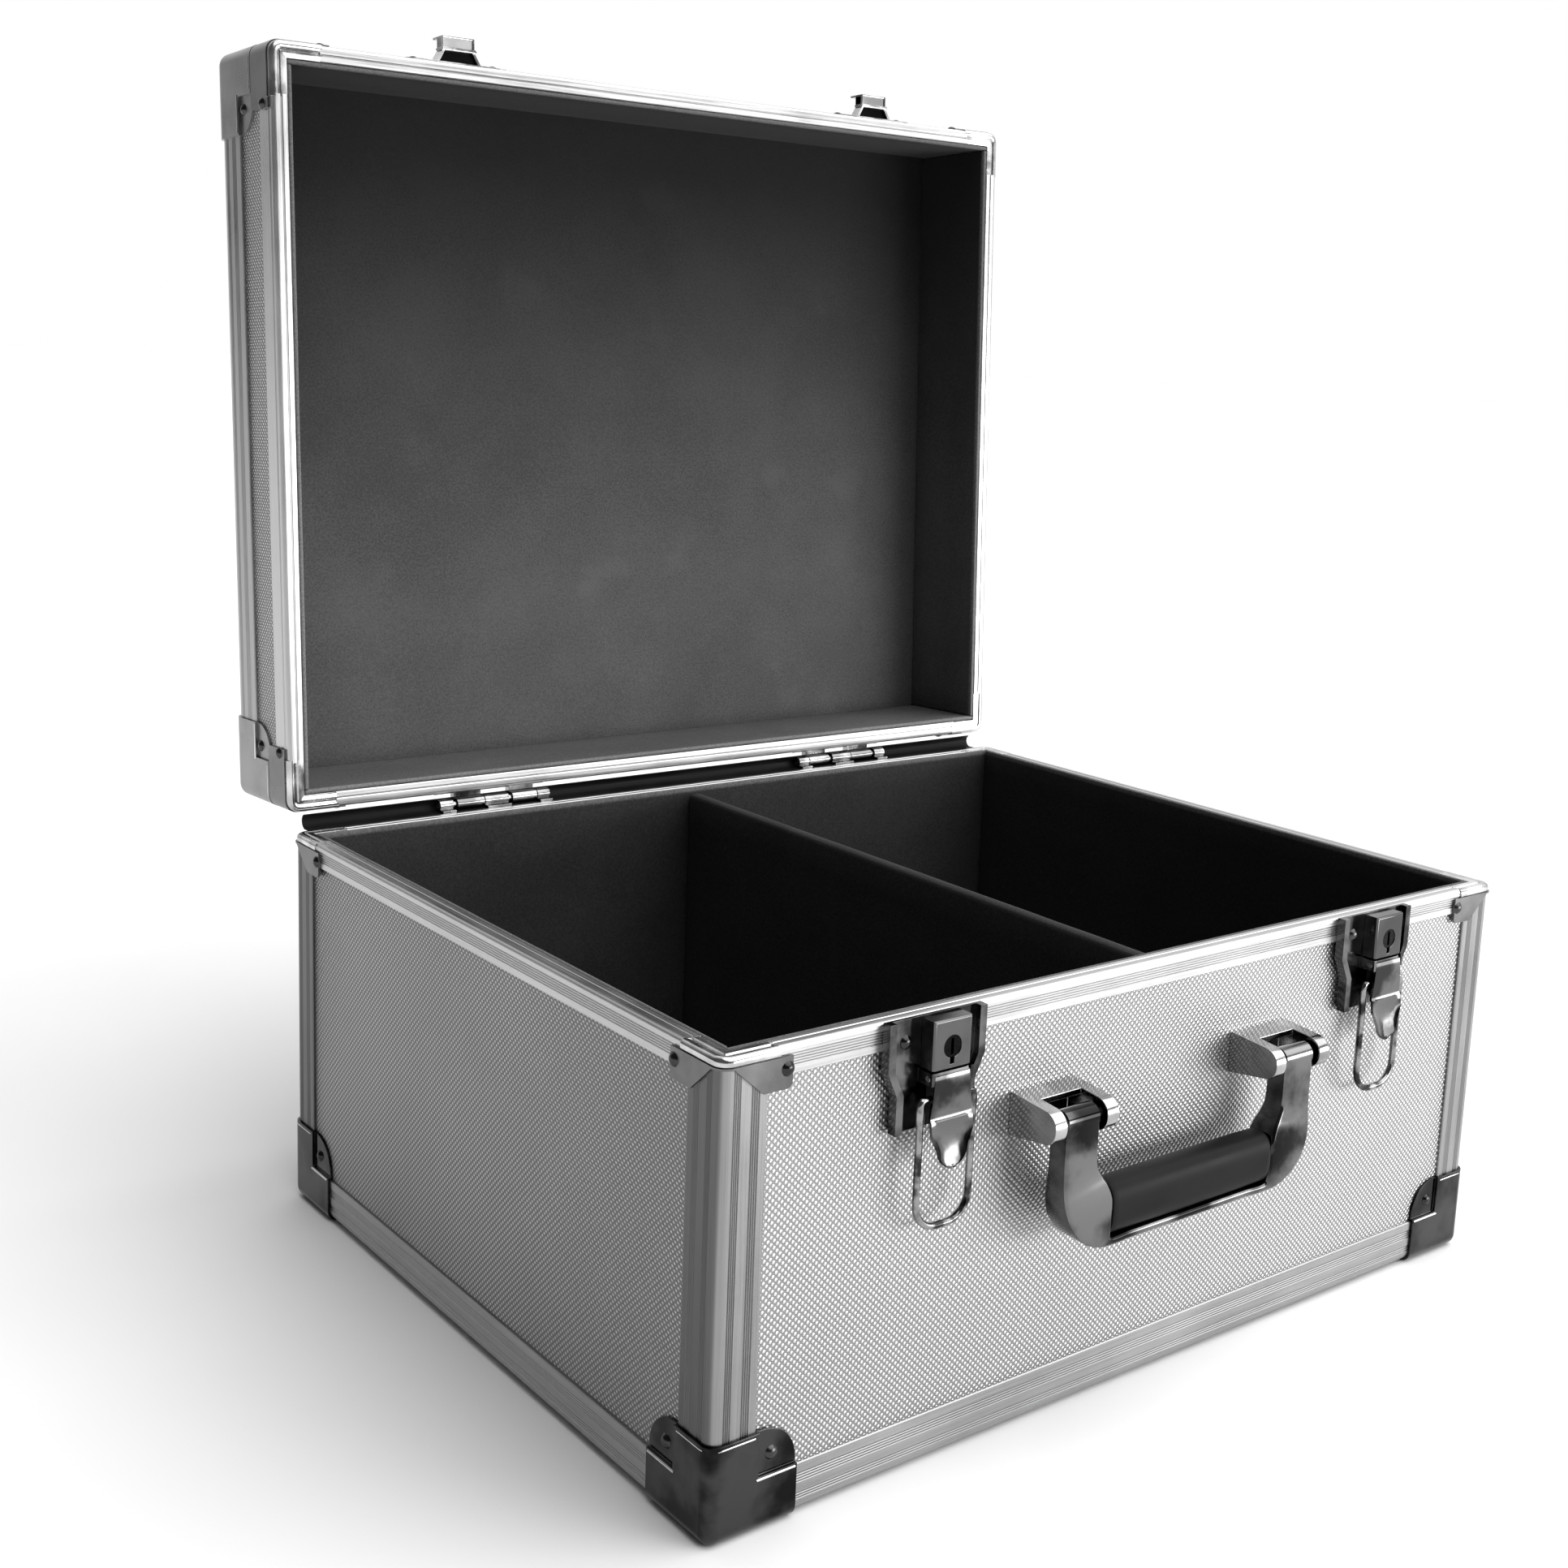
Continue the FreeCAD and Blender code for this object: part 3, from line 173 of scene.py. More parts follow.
class Finish:
    """A node material, built step by step on a Principled shader."""

    def __init__(self, name, metallic, roughness, lid=False):
        self.material = bpy.data.materials.new(name)
        self.material.use_nodes = True
        self.tree = self.material.node_tree
        self.surface = self.tree.nodes["Principled BSDF"]
        self.set("Metallic", metallic)
        self.set("Roughness", roughness)
        self.place = self.add("ShaderNodeTexCoord").outputs["Object"]
        self.height = None
        if lid:
            self.close_lid()

    def add(self, kind, inputs=None, **settings):
        node = self.tree.nodes.new(kind)
        for key, value in settings.items():
            setattr(node, key, value)
        for key, value in (inputs or {}).items():
            self.feed(node.inputs[key], value)
        return node

    def feed(self, socket, value):
        if isinstance(value, bpy.types.NodeSocket):
            self.tree.links.new(value, socket)
        else:
            socket.default_value = value

    def set(self, name, value):
        self.feed(self.surface.inputs[name], value)

    def close_lid(self):
        """Turns the coordinates of a CAD lid piece back to where it lies on the closed case."""
        inputs = {"Vector": self.place, "Center": HINGE, "Angle": OPEN_ANGLE}
        turn = self.add("ShaderNodeVectorRotate", inputs, rotation_type="X_AXIS")
        self.place = turn.outputs["Vector"]

    def math(self, operation, *values):
        node = self.add("ShaderNodeMath", operation=operation)
        for socket, value in zip(node.inputs, values):
            self.feed(socket, value)
        return node.outputs[0]

    def blend(self, first, share, second):
        """share of the first value and the rest of the second."""
        return self.math("ADD", self.math("MULTIPLY", first, share), self.math("MULTIPLY", second, 1 - share))

    def along(self, axis):
        return self.add("ShaderNodeSeparateXYZ", {"Vector": self.place}).outputs[axis]

    def noise(self, scale, detail=3.0, stretch=(1.0, 1.0, 1.0), spin=(0.0, 0.0, 0.0)):
        inputs = {"Vector": self.place, "Scale": stretch, "Rotation": spin}
        mapping = self.add("ShaderNodeMapping", inputs)
        inputs = {"Vector": mapping.outputs[0], "Scale": scale, "Detail": detail}
        return self.add("ShaderNodeTexNoise", inputs).outputs["Fac"]

    def fit(self, value, low, high, start, end):
        """Maps value from low..high to start..end, smoothly and clamped."""
        names = ("Value", "From Min", "From Max", "To Min", "To Max")
        inputs = dict(zip(names, (value, low, high, start, end)))
        return self.add("ShaderNodeMapRange", inputs, interpolation_type="SMOOTHSTEP").outputs["Result"]

    def colour(self, value, dark, light):
        self.set("Base Color", self.fit(value, *NOISE_RANGE, dark, light))

    def roughen(self, value, smooth, rough):
        self.set("Roughness", self.fit(value, *NOISE_RANGE, smooth, rough))

    def bump(self, height, depth, strength=1.0):
        inputs = {"Height": height, "Distance": depth, "Strength": strength}
        node = self.add("ShaderNodeBump", inputs)
        if self.height:
            self.feed(node.inputs["Normal"], self.height)
        self.height = node.outputs["Normal"]
        self.set("Normal", self.height)

    def dots(self, axes, pitch):
        """Distance, in pitches, from the nearest point of a grid that is turned by 45 degrees."""
        inputs = {"X": self.along(axes[0]), "Y": self.along(axes[1])}
        flat = self.add("ShaderNodeCombineXYZ", inputs)
        scale = (1 / pitch, 1 / pitch, 1.0)
        inputs = {"Vector": flat.outputs[0], "Scale": scale, "Rotation": (0.0, 0.0, math.radians(45))}
        turned = self.add("ShaderNodeMapping", inputs)
        inputs = {"Vector": turned.outputs[0], "Scale": 1.0, "Randomness": 0.0}
        return self.add("ShaderNodeTexVoronoi", inputs, voronoi_dimensions="2D").outputs["Distance"]


DOT_PITCH = 1.75 * MM
GRAIN = {"X": (25.0, 2600.0, 2600.0), "Y": (2600.0, 25.0, 2600.0), "Z": (2600.0, 2600.0, 25.0)}


def dimpled_panel(name, axes, lid=False, tone=1.0):
    """Embossed aluminium sheet: small raised dots, their tops painted lighter (painted highlight), the ground
    darker (painted shade).
    """
    finish = Finish(name, metallic=1.0, roughness=0.38, lid=lid)
    distance = finish.dots(axes, DOT_PITCH)
    dot = finish.fit(distance, 0.08, 0.52, 1.0, 0.0)
    highlight_patches = finish.noise(14.0, 4.0)
    dot_highlight = finish.math("MULTIPLY", dot, finish.fit(highlight_patches, *NOISE_RANGE, 0.8, 1.0))
    # Painted highlight on the dot tops, uneven in patches, and painted shade in the ground between them.
    finish.set("Base Color", finish.fit(dot_highlight, 0.0, 1.0, 0.26 * tone, 0.76 * tone))
    finish.set("Roughness", finish.fit(dot, 0.0, 1.0, 0.48, 0.30))
    finish.bump(finish.noise(900.0, 2.0), 0.02 * MM, 0.5)
    finish.bump(dot, 0.22 * MM)
    return finish.material


def satin_extrusion(name, axis, light, ends=1.0):
    """Satin anodised extrusion, drawn lengthwise, with faint handling marks.

    ends scales its tone on the left and right faces of the case: painted shade.
    """
    finish = Finish(name, metallic=1.0, roughness=0.3)
    grain = finish.noise(1.0, 2.0, GRAIN[axis])
    marks = finish.noise(22.0, 5.0)
    mixed = finish.blend(grain, 0.5, marks)
    tone = finish.fit(mixed, *NOISE_RANGE, light * 0.84, light * 1.1)
    # Painted shade: the tone is darker on the case's left and right faces.
    if ends < 1.0:
        out = finish.math("ABSOLUTE", finish.along("X"))
        tone = finish.math("MULTIPLY", tone, finish.fit(out, RIGHT - 1.8 * MM, RIGHT - 0.6 * MM, 1.0, ends))
    finish.set("Base Color", tone)
    finish.roughen(mixed, 0.26, 0.42)
    finish.bump(grain, 0.012 * MM, 0.6)
    return finish.material


def grooved_satin(name, axis, light, ends=1.0):
    """The finishes of a grooved extrusion: its face, and the floors of its grooves, painted darker as painted
    shade.
    """
    face = satin_extrusion(name + "_face", axis, light, ends)
    # The groove floors' material is the face's metal painted darker: painted shade.
    return [face, satin_extrusion(name + "_grooves", axis, light * 0.45, ends)]


def bright_steel(name, dark, light, smooth, rough, scale=45.0, contrast=0.2):
    """Bright plated steel with smudges, fine scratches and a slightly uneven face."""
    finish = Finish(name, metallic=1.0, roughness=smooth)
    smudge = finish.noise(scale, 4.0)
    scratch = finish.noise(1.0, 2.0, (2200.0, 120.0, 900.0), (0.4, 0.2, 0.7))
    scratch = finish.fit(scratch, 0.62, 0.72, 0.0, 1.0)
    finish.set("Base Color", finish.fit(smudge, 0.5 - contrast, 0.5 + contrast, dark, light))
    marks = finish.math("ADD", smudge, finish.math("MULTIPLY", scratch, 0.25))
    finish.roughen(marks, smooth, rough)
    finish.bump(finish.noise(90.0, 2.0), 0.05 * MM, 0.6)
    finish.bump(scratch, 0.006 * MM, 0.5)
    return finish.material


def black_felt(name, dark, light, front=1.0, back=1.0, edge=None):
    """Short needled felt: a matted pile with rubbed places.

    front and back scale its tone at the front of the case and at its hinges: painted light. edge is the level
    of an edge that is painted paler: a painted highlight.
    """
    finish = Finish(name, metallic=0.0, roughness=0.92)
    pile = finish.noise(1100.0, 4.0)
    patches = finish.noise(16.0, 4.0, (1.0, 1.0, 1.6))
    rubs = finish.fit(finish.noise(6.0, 6.0, (4.0, 4.0, 0.7)), 0.60, 0.78, 0.0, 0.12)
    mixed = finish.math("ADD", finish.blend(pile, 0.6, patches), rubs)
    # Painted light: darker towards the front of the case, lighter towards its hinges.
    light_ramp = finish.fit(finish.along("Y"), FRONT, BACK - 20 * MM, front, back)
    tone = finish.math("MULTIPLY", finish.fit(mixed, *NOISE_RANGE, dark, light), light_ramp)
    if edge:
        # Painted highlight along the lining's top edge, with a fuzzy grain.
        away = finish.math("ABSOLUTE", finish.math("SUBTRACT", finish.along("Z"), edge))
        edge_highlight = finish.fit(away, 1.2 * MM, 3.0 * MM, 0.12, 0.0)
        fuzz = finish.fit(pile, *NOISE_RANGE, 0.6, 1.0)
        tone = finish.math("ADD", tone, finish.math("MULTIPLY", edge_highlight, fuzz))
    finish.set("Base Color", tone)
    finish.set("Sheen Weight", 0.04)
    finish.set("Sheen Roughness", 0.5)
    finish.set("Specular IOR Level", 0.25)
    finish.bump(finish.noise(260.0, 3.0), 0.25 * MM, 0.5)
    finish.bump(pile, 0.12 * MM, 0.8)
    return finish.material


def black_grip(name):
    """Moulded black plastic or rubber with a fine grain, polished in places by use."""
    finish = Finish(name, metallic=0.0, roughness=0.4)
    grain = finish.noise(1500.0, 3.0)
    polish = finish.noise(40.0, 3.0)
    finish.colour(polish, 0.007, 0.012)
    finish.roughen(polish, 0.38, 0.52)
    finish.set("Specular IOR Level", 0.07)
    finish.bump(grain, 0.03 * MM, 0.7)
    return finish.material


def lock_metal(name):
    """Turned metal of the key cylinder, painted nearly black: a painted dark reflection."""
    finish = Finish(name, metallic=1.0, roughness=0.3)
    rings = finish.noise(1.0, 2.0, (3000.0, 100.0, 3000.0))
    finish.colour(rings, 0.002, 0.005)
    finish.roughen(rings, 0.25, 0.4)
    finish.bump(rings, 0.02 * MM, 0.5)
    return finish.material


# -------------------------------------------------- mesh helpers


def place_piece(name, mesh, body, material, lid=False, replaces=()):
    """Adds a finished mesh to the scene as one piece. A lid piece is drawn closed and turned open."""
    for each in material if isinstance(material, (list, tuple)) else [material]:
        mesh.materials.append(each)
    piece = bpy.data.objects.new(name, mesh)
    bpy.context.scene.collection.objects.link(piece)
    if lid:
        piece.matrix_world = OPEN
    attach(piece, body)
    if replaces:
        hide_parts(*replaces)


def finished_mesh(name, shape, sharp=35):
    """Turns a bmesh into a smooth mesh whose edges are sharp above an angle."""
    bmesh.ops.recalc_face_normals(shape, faces=shape.faces)
    for face in shape.faces:
        face.smooth = True
    for edge in shape.edges:
        edge.smooth = edge.calc_face_angle(0.0) < math.radians(sharp)
    mesh = bpy.data.meshes.new(name)
    shape.to_mesh(mesh)
    shape.free()
    return mesh


def add_shape(shape, part):
    """Copies one bmesh into another and frees it."""
    mesh = bpy.data.meshes.new("part")
    part.to_mesh(mesh)
    part.free()
    shape.from_mesh(mesh)
    bpy.data.meshes.remove(mesh)


def add_loft(shape, rings):
    """Adds a closed skin through rings of points, with a cap at each end."""
    verts = [[shape.verts.new(point) for point in ring] for ring in rings]
    count = len(verts[0])
    for a, b in zip(verts, verts[1:]):
        for i in range(count):
            j = (i + 1) % count
            shape.faces.new((a[i], a[j], b[j], b[i]))
    shape.faces.new(verts[0])
    shape.faces.new(verts[-1][::-1])


GROOVE = 0.30 * MM


def add_prism(shape, section, place, start, end, grooved=False):
    """Adds a prism to a bmesh. section is an outline of (a, b), and place(a, b, t) gives its points.

    The floors of its grooves, at the groove depth, take the second material, which is painted darker as
    painted shade.
    """
    sunk = [i for i, point in enumerate(section) if grooved and any(abs(c - GROOVE) < 1e-7 for c in point)]
    near = [shape.verts.new(place(a, b, start)) for a, b in section]
    far = [shape.verts.new(place(a, b, end)) for a, b in section]
    for i in range(len(section)):
        j = (i + 1) % len(section)
        face = shape.faces.new((near[i], near[j], far[j], far[i]))
        face.material_index = 1 if i in sunk and j in sunk else 0
    shape.faces.new(near)
    shape.faces.new(far[::-1])


def groove_run(start, end, bands):
    """(distance, sink) along a face from start to end, with fine grooves in each (from, to, count) band."""
    run = [(start, 0.0)]
    for low, high, count in bands:
        pitch = (high - low) / count
        for i in range(count):
            at = low + i * pitch
            for share, drop in ((0.0, 0.0), (0.22, GROOVE), (0.58, GROOVE), (0.80, 0.0)):
                run.append((at + share * pitch, drop))
    edge = 0.35 * MM
    run += [(end - edge, 0.0), (end, edge)]
    return run


def angle_section(legs, radius, bands):
    """The outline of a grooved angle, from the end of its first leg round the corner to its second."""
    first = groove_run(radius, legs[0], bands[0])
    second = groove_run(radius, legs[1], bands[1])
    steps = 7
    turns = [math.radians(90 * i / steps) for i in range(1, steps)]
    corner = [(radius - radius * math.sin(t), radius - radius * math.cos(t)) for t in turns]
    outer = [(d, sink) for d, sink in reversed(first)] + corner + [(sink, d) for d, sink in second]
    inner_radius = max(radius - SKIN, 0.5 * MM)
    inner = [
        (SKIN, legs[1]),
        (SKIN, SKIN + inner_radius),
        (SKIN + 0.3 * inner_radius, SKIN + 0.3 * inner_radius),
        (SKIN + inner_radius, SKIN),
        (legs[0], SKIN),
    ]
    return outer + inner


POST_BANDS = [(4.8 * MM, 7.8 * MM, 4), (11.6 * MM, 15.0 * MM, 4)]
EDGE_BANDS = [(4.9 * MM, 7.6 * MM, 3), (10.8 * MM, 14.6 * MM, 4)]
LID_EDGE_BANDS = [(8.6 * MM, 11.4 * MM, 3), (15.0 * MM, 19.4 * MM, 4)]
LID_TOP_BANDS = [(8.6 * MM, 11.0 * MM, 3), (12.6 * MM, 15.0 * MM, 3)]


# -------------------------------------------------- extrusions


def corner_posts(name, low, high, body, lid, replaced):
    shape = bmesh.new()
    section = angle_section((FLANGE, FLANGE), CORNER_RADIUS, (POST_BANDS, POST_BANDS))
    for x, along_x in ((LEFT, 1), (RIGHT, -1)):
        for y, along_y in ((FRONT, 1), (BACK, -1)):
            place = lambda a, b, t, x=x, y=y, p=along_x, q=along_y: (x + a * p, y + b * q, t)
            add_prism(shape, section, place, low, high, grooved=True)
    # The base posts' left and right faces are painted darker: painted shade.
    material = grooved_satin(name, "Z", 0.29, 1.0 if lid else 0.42)
    place_piece(name, finished_mesh(name, shape), body, material, lid, [replaced])


def place_bar(shape, side, light, body, lid, replaced):
    """Finishes a grooved bar on one side of the case, in place of a CAD node."""
    name = replaced + "_grooved"
    material = grooved_satin(name, "X" if side in ("front", "back") else "Y", light)
    place_piece(name, finished_mesh(name, shape), body, material, lid, [replaced])


def side_placement(side, level, up):
    """place(a, b, t) for a section on one side of the case: a goes inward, b up or down from level."""
    if side == "front":
        return lambda a, b, t: (t, FRONT + a, level + b * up)
    if side == "back":
        return lambda a, b, t: (t, BACK - a, level + b * up)
    if side == "left":
        return lambda a, b, t: (LEFT + a, t, level + b * up)
    return lambda a, b, t: (RIGHT - a, t, level + b * up)


def edge_bar(side, level, up, leg, radius, bands, body, lid, replaced):
    shape = bmesh.new()
    section = angle_section((FLANGE, leg), radius, bands)
    along_x = side in ("front", "back")
    start, end = (LEFT + radius, RIGHT - radius) if along_x else (FRONT + FLANGE, BACK - FLANGE)
    add_prism(shape, section, side_placement(side, level, up), start, end, grooved=True)
    place_bar(shape, side, 0.36, body, lid, replaced)


def rim_section(flange, bands):
    """The rim: a grooved skin flange, a half-round bead and a shelf that turns in over the lining."""
    bead = 1.6 * MM
    run = groove_run(bead + 0.4 * MM, flange, bands)
    outer = [(sink, d) for d, sink in reversed(run)]
    steps = 6
    turns = [math.radians(90 * i / steps) for i in range(steps + 1)]
    corner = [(bead - bead * math.cos(t), bead - bead * math.sin(t)) for t in turns]
    crown = [
        (3.4 * MM, 0.0),
        (3.8 * MM, 0.30 * MM),
        (4.2 * MM, 0.30 * MM),
        (4.5 * MM, 0.05 * MM),
        (SHELF - 0.5 * MM, 0.05 * MM),
        (SHELF - 0.1 * MM, 0.35 * MM),
        (SHELF, SHELF_SHEET),
        (CORE, SHELF_SHEET),
        (CORE, 4.0 * MM),
        (SKIN, 4.0 * MM),
        (SKIN, flange),
    ]
    return outer + corner + crown


def rim_bar(side, level, down, flange, bands, body, lid, replaced):
    shape = bmesh.new()
    along_x = side in ("front", "back")
    low, high = (LEFT, RIGHT) if along_x else (FRONT, BACK)
    place = side_placement(side, level, down)
    add_prism(shape, rim_section(flange, bands), place, low + RIM_CORNER, high - RIM_CORNER, grooved=True)
    place_bar(shape, side, 0.52, body, lid, replaced)


def extrusions():
    under_bead = 3.0 * MM
    corner_posts("base_posts_grooved", EDGE_TOP, RIM - under_bead, "base", False, "base_corner_posts")
    lid_low, lid_high = LID_RIM + under_bead, LID_TOP - LID_FLANGE
    corner_posts("lid_posts_grooved", lid_low, lid_high, "lid_body", True, "lid_corner_posts")
    base_rim_bands = [(2.9 * MM, 7.4 * MM, 5)]
    lid_rim_bands = [(3.2 * MM, 4.8 * MM, 2)]
    for side in ("front", "back", "left", "right"):
        bands = (EDGE_BANDS, EDGE_BANDS)
        node = "base_bottom_edge_" + side
        edge_bar(side, BOTTOM, 1, FLANGE, CORNER_RADIUS, bands, "base", False, node)
        bands = (LID_TOP_BANDS, LID_EDGE_BANDS)
        node = "lid_top_edge_" + side
        edge_bar(side, LID_TOP, -1, LID_FLANGE, LID_RADIUS, bands, "lid_body", True, node)
        rim_bar(side, RIM, -1, RIM - RIM_LOW, base_rim_bands, "base", False, "base_rim_" + side)
        rim_bar(side, LID_RIM, 1, LID_RIM_FLANGE, lid_rim_bands, "lid_body", True, "lid_rim_" + side)


# -------------------------------------------------- rim corners


def corner_track(reach, radius, a):
    """Points (u, v) along a corner at depth a from both outer faces, from one leg's end to the other's."""
    turn = max(radius - a, 0.05 * MM)
    centre = a + turn
    track = [(reach, a), ((reach + centre) / 2, a)]
    for degrees in range(0, 91, 15):
        t = math.radians(degrees)
        track.append((centre - turn * math.sin(t), centre - turn * math.cos(t)))
    return track + [(a, (reach + centre) / 2), (a, reach)]


def corner_places(level, down):
    """place(u, v, b) for each of the four corners."""
    return [
        lambda u, v, b, x=x, y=y, p=p, q=q: Vector((x + p * u, y + q * v, level + down * b))
        for x, p in ((LEFT, 1), (RIGHT, -1))
        for y, q in ((FRONT, 1), (BACK, -1))
    ]


def add_corner_sweep(shape, section, reach, radius, place):
    """Sweeps a section of (depth, drop) points round a corner."""
    tracks = [corner_track(reach, radius, a) for a, _ in section]
    rings = []
    for i in range(len(tracks[0])):
        rings.append([place(*track[i], b) for track, (_, b) in zip(tracks, section)])
    add_loft(shape, rings)


BEAD_SECTION = [
    (-0.10 * MM, 3.5 * MM),
    (-0.50 * MM, 3.0 * MM),
    (-0.55 * MM, 1.7 * MM),
    (-0.20 * MM, 0.7 * MM),
    (0.60 * MM, 0.12 * MM),
    (1.50 * MM, 0.0),
    (2.40 * MM, 0.12 * MM),
    (2.90 * MM, 0.55 * MM),
    (3.40 * MM, 0.55 * MM),
    (3.90 * MM, 0.08 * MM),
    (5.90 * MM, 0.05 * MM),
    (6.60 * MM, 0.30 * MM),
    (6.80 * MM, 1.4 * MM),
    (1.20 * MM, 1.4 * MM),
    (1.20 * MM, 3.5 * MM),
]


def clamp_columns(leg, radius, depth, nose, point):
    """(u, v, bottom drop) along the clamp's face, from one leg's end round the corner to the other's."""
    half = []
    run = [leg, leg - 0.25 * MM, leg - 0.9 * MM, leg - 2.0 * MM, leg - 6 * MM, point, point - 4 * MM]
    run += [point - 8 * MM, radius]
    for u in run:
        end_cut = 1.6 * MM * max(0.0, 1 - (leg - u) / (2.0 * MM)) ** 2
        slope = max(0.0, (point - u) / (point - radius))
        half.append((u, 0.0, depth - end_cut - (depth - nose) * slope))
    around = []
    for degrees in range(15, 90, 15):
        t = math.radians(degrees)
        around.append((radius - radius * math.sin(t), radius - radius * math.cos(t), half[-1][2]))
    return half + around + [(v, u, bottom) for u, v, bottom in reversed(half)]


def add_clamp(shape, depth, nose, place):
    """The clamp: a thin sheet that wraps the corner below the bead, cut back towards the corner."""
    leg, point, radius, top = 27.5 * MM, 16.5 * MM, 5.3 * MM, 3.3 * MM
    proud, thickness, rows = 1.0 * MM, 0.9 * MM, 5
    sheet = bmesh.new()
    grid = []
    for u, v, bottom in clamp_columns(leg, radius, depth, nose, point):
        drops = [top + (bottom - top) * i / rows for i in range(rows + 1)]
        grid.append([sheet.verts.new(place(u - proud, v - proud, drop)) for drop in drops])
    for a, b in zip(grid, grid[1:]):
        for i in range(rows):
            sheet.faces.new((a[i], a[i + 1], b[i + 1], b[i]))
    centre = place(leg, leg, top)
    for face in sheet.faces:
        face.normal_update()
        if face.normal.dot(face.calc_center_median() - centre) < 0:
            face.normal_flip()
    bmesh.ops.solidify(sheet, geom=sheet.faces[:], thickness=thickness)
    add_shape(shape, sheet)


def rim_corners(name, level, down, depth, nose, body, lid, replaced):
    beads, clamps = bmesh.new(), bmesh.new()
    for place in corner_places(level, down):
        add_corner_sweep(beads, BEAD_SECTION, RIM_CORNER + 1 * MM, CORNER_RADIUS, place)
        add_clamp(clamps, depth, nose, place)
    chrome = bright_steel(name + "_chrome", 0.42, 0.74, 0.13, 0.25, scale=80.0, contrast=0.14)
    steel = bright_steel(name + "_steel", 0.11, 0.19, 0.24, 0.36)
    mesh = finished_mesh(name + "_beads", beads)
    place_piece(name + "_beads", mesh, body, chrome, lid, [replaced])
    mesh = finished_mesh(name + "_clamps", clamps, 30)
    place_piece(name + "_clamps", mesh, body, steel, lid, [replaced])


def add_rod(shape, points, radius):
    """A thin round bead along a line of points."""
    sides = 8
    rings = []
    for i, point in enumerate(points):
        run = (points[min(i + 1, len(points) - 1)] - points[max(i - 1, 0)]).normalized()
        side = run.cross(Vector((0.3, 0.5, 0.8))).normalized()
        other = run.cross(side)
        turns = [math.tau * step / sides for step in range(sides)]
        rings.append([point + radius * (side * math.cos(t) + other * math.sin(t)) for t in turns])
    add_loft(shape, rings)


def cap_beads(name, level, down, step, top, body, lid):
    """Bright beads on the corner caps, painted highlights: along each tab's step and over the top edge of the
    corner.
    """
    shape = bmesh.new()
    start, end, collar_end = 18.2 * MM, 33.6 * MM, 17.2 * MM
    proud, bead, collar = 0.75 * MM, 0.55 * MM, 0.45 * MM
    line = (start, (start + end) / 2, end)
    track = corner_track(collar_end, CORNER_RADIUS, -0.7 * MM)
    for place in corner_places(level, down):
        add_rod(shape, [place(u, -proud, step) for u in line], bead)
        add_rod(shape, [place(-proud, v, step) for v in line], bead)
        add_rod(shape, [place(u, v, top) for u, v in track], collar)
    chrome = bright_steel(name + "_chrome", 0.45, 0.75, 0.12, 0.25)
    place_piece(name, finished_mesh(name, shape, 70), body, chrome, lid)


def corner_fittings():
    down, up = -1, 1
    rim_corners("base_rim_corner", RIM, down, 14 * MM, 4.0 * MM, "base", False, "base_rim_corners")
    rim_corners("lid_rim_corner", LID_RIM, up, 20 * MM, 20 * MM, "lid_body", True, "lid_rim_corners")
    cap_beads("base_cap_beads", BOTTOM - 1 * MM, up, 19 * MM, 34 * MM, "base", False)
    cap_beads("lid_cap_beads", LID_TOP + 1 * MM, down, 25 * MM, 38 * MM, "lid_body", True)


# -------------------------------------------------- felt


def grid_steps(low, high, radius, cell):
    """Grid lines from low to high, closer together where the edge is rounded."""
    count = max(1, round((high - low - 2 * radius) / cell))
    middle = [low + radius + (high - low - 2 * radius) * i / count for i in range(count + 1)]
    return [low, low + 0.3 * radius] + middle + [high - 0.3 * radius, high]


def add_soft_board(shape, low, high, radius):
    """Adds a felt-covered board: a block with soft edges and a slightly uneven face."""
    cell, sag, wave = 11 * MM, 0.25 * MM, 45.0
    lines = [grid_steps(low[i], high[i], radius, cell) for i in range(3)]
    made = {}

    def corner(i, j, k):
        if (i, j, k) not in made:
            point = Vector((lines[0][i], lines[1][j], lines[2][k]))
            core = Vector([min(max(point[n], low[n] + radius), high[n] - radius) for n in range(3)])
            out = (point - core).normalized()
            drop = sag * (0.5 + 0.5 * noise.noise(point * wave))
            made[i, j, k] = shape.verts.new(core + out * (radius - drop))
        return made[i, j, k]

    last = [len(line) - 1 for line in lines]
    for axis in range(3):
        u, v = [n for n in range(3) if n != axis]
        for end in (0, last[axis]):
            for i in range(last[u]):
                for j in range(last[v]):
                    quad = []
                    for du, dv in ((0, 0), (1, 0), (1, 1), (0, 1)):
                        index = [0, 0, 0]
                        index[axis], index[u], index[v] = end, i + du, j + dv
                        quad.append(corner(*index))
                    shape.faces.new(quad)


def felt_piece(name, blocks, radius, material, body, lid, replaced):
    shape = bmesh.new()
    for low, high in blocks:
        add_soft_board(shape, low, high, radius)
    mesh = finished_mesh(name, shape, sharp=60)
    place_piece(name, mesh, body, material, lid, [replaced])


def wall_blocks(low, high):
    """The four wall sheets, the side ones between the front and back ones."""
    return [
        ((LEFT + SHELF, FRONT + SHELF, low), (RIGHT - SHELF, FRONT + WALL, high)),
        ((LEFT + SHELF, BACK - WALL, low), (RIGHT - SHELF, BACK - SHELF, high)),
        ((LEFT + SHELF, FRONT + WALL, low), (LEFT + WALL, BACK - WALL, high)),
        ((RIGHT - WALL, FRONT + WALL, low), (RIGHT - SHELF, BACK - WALL, high)),
    ]


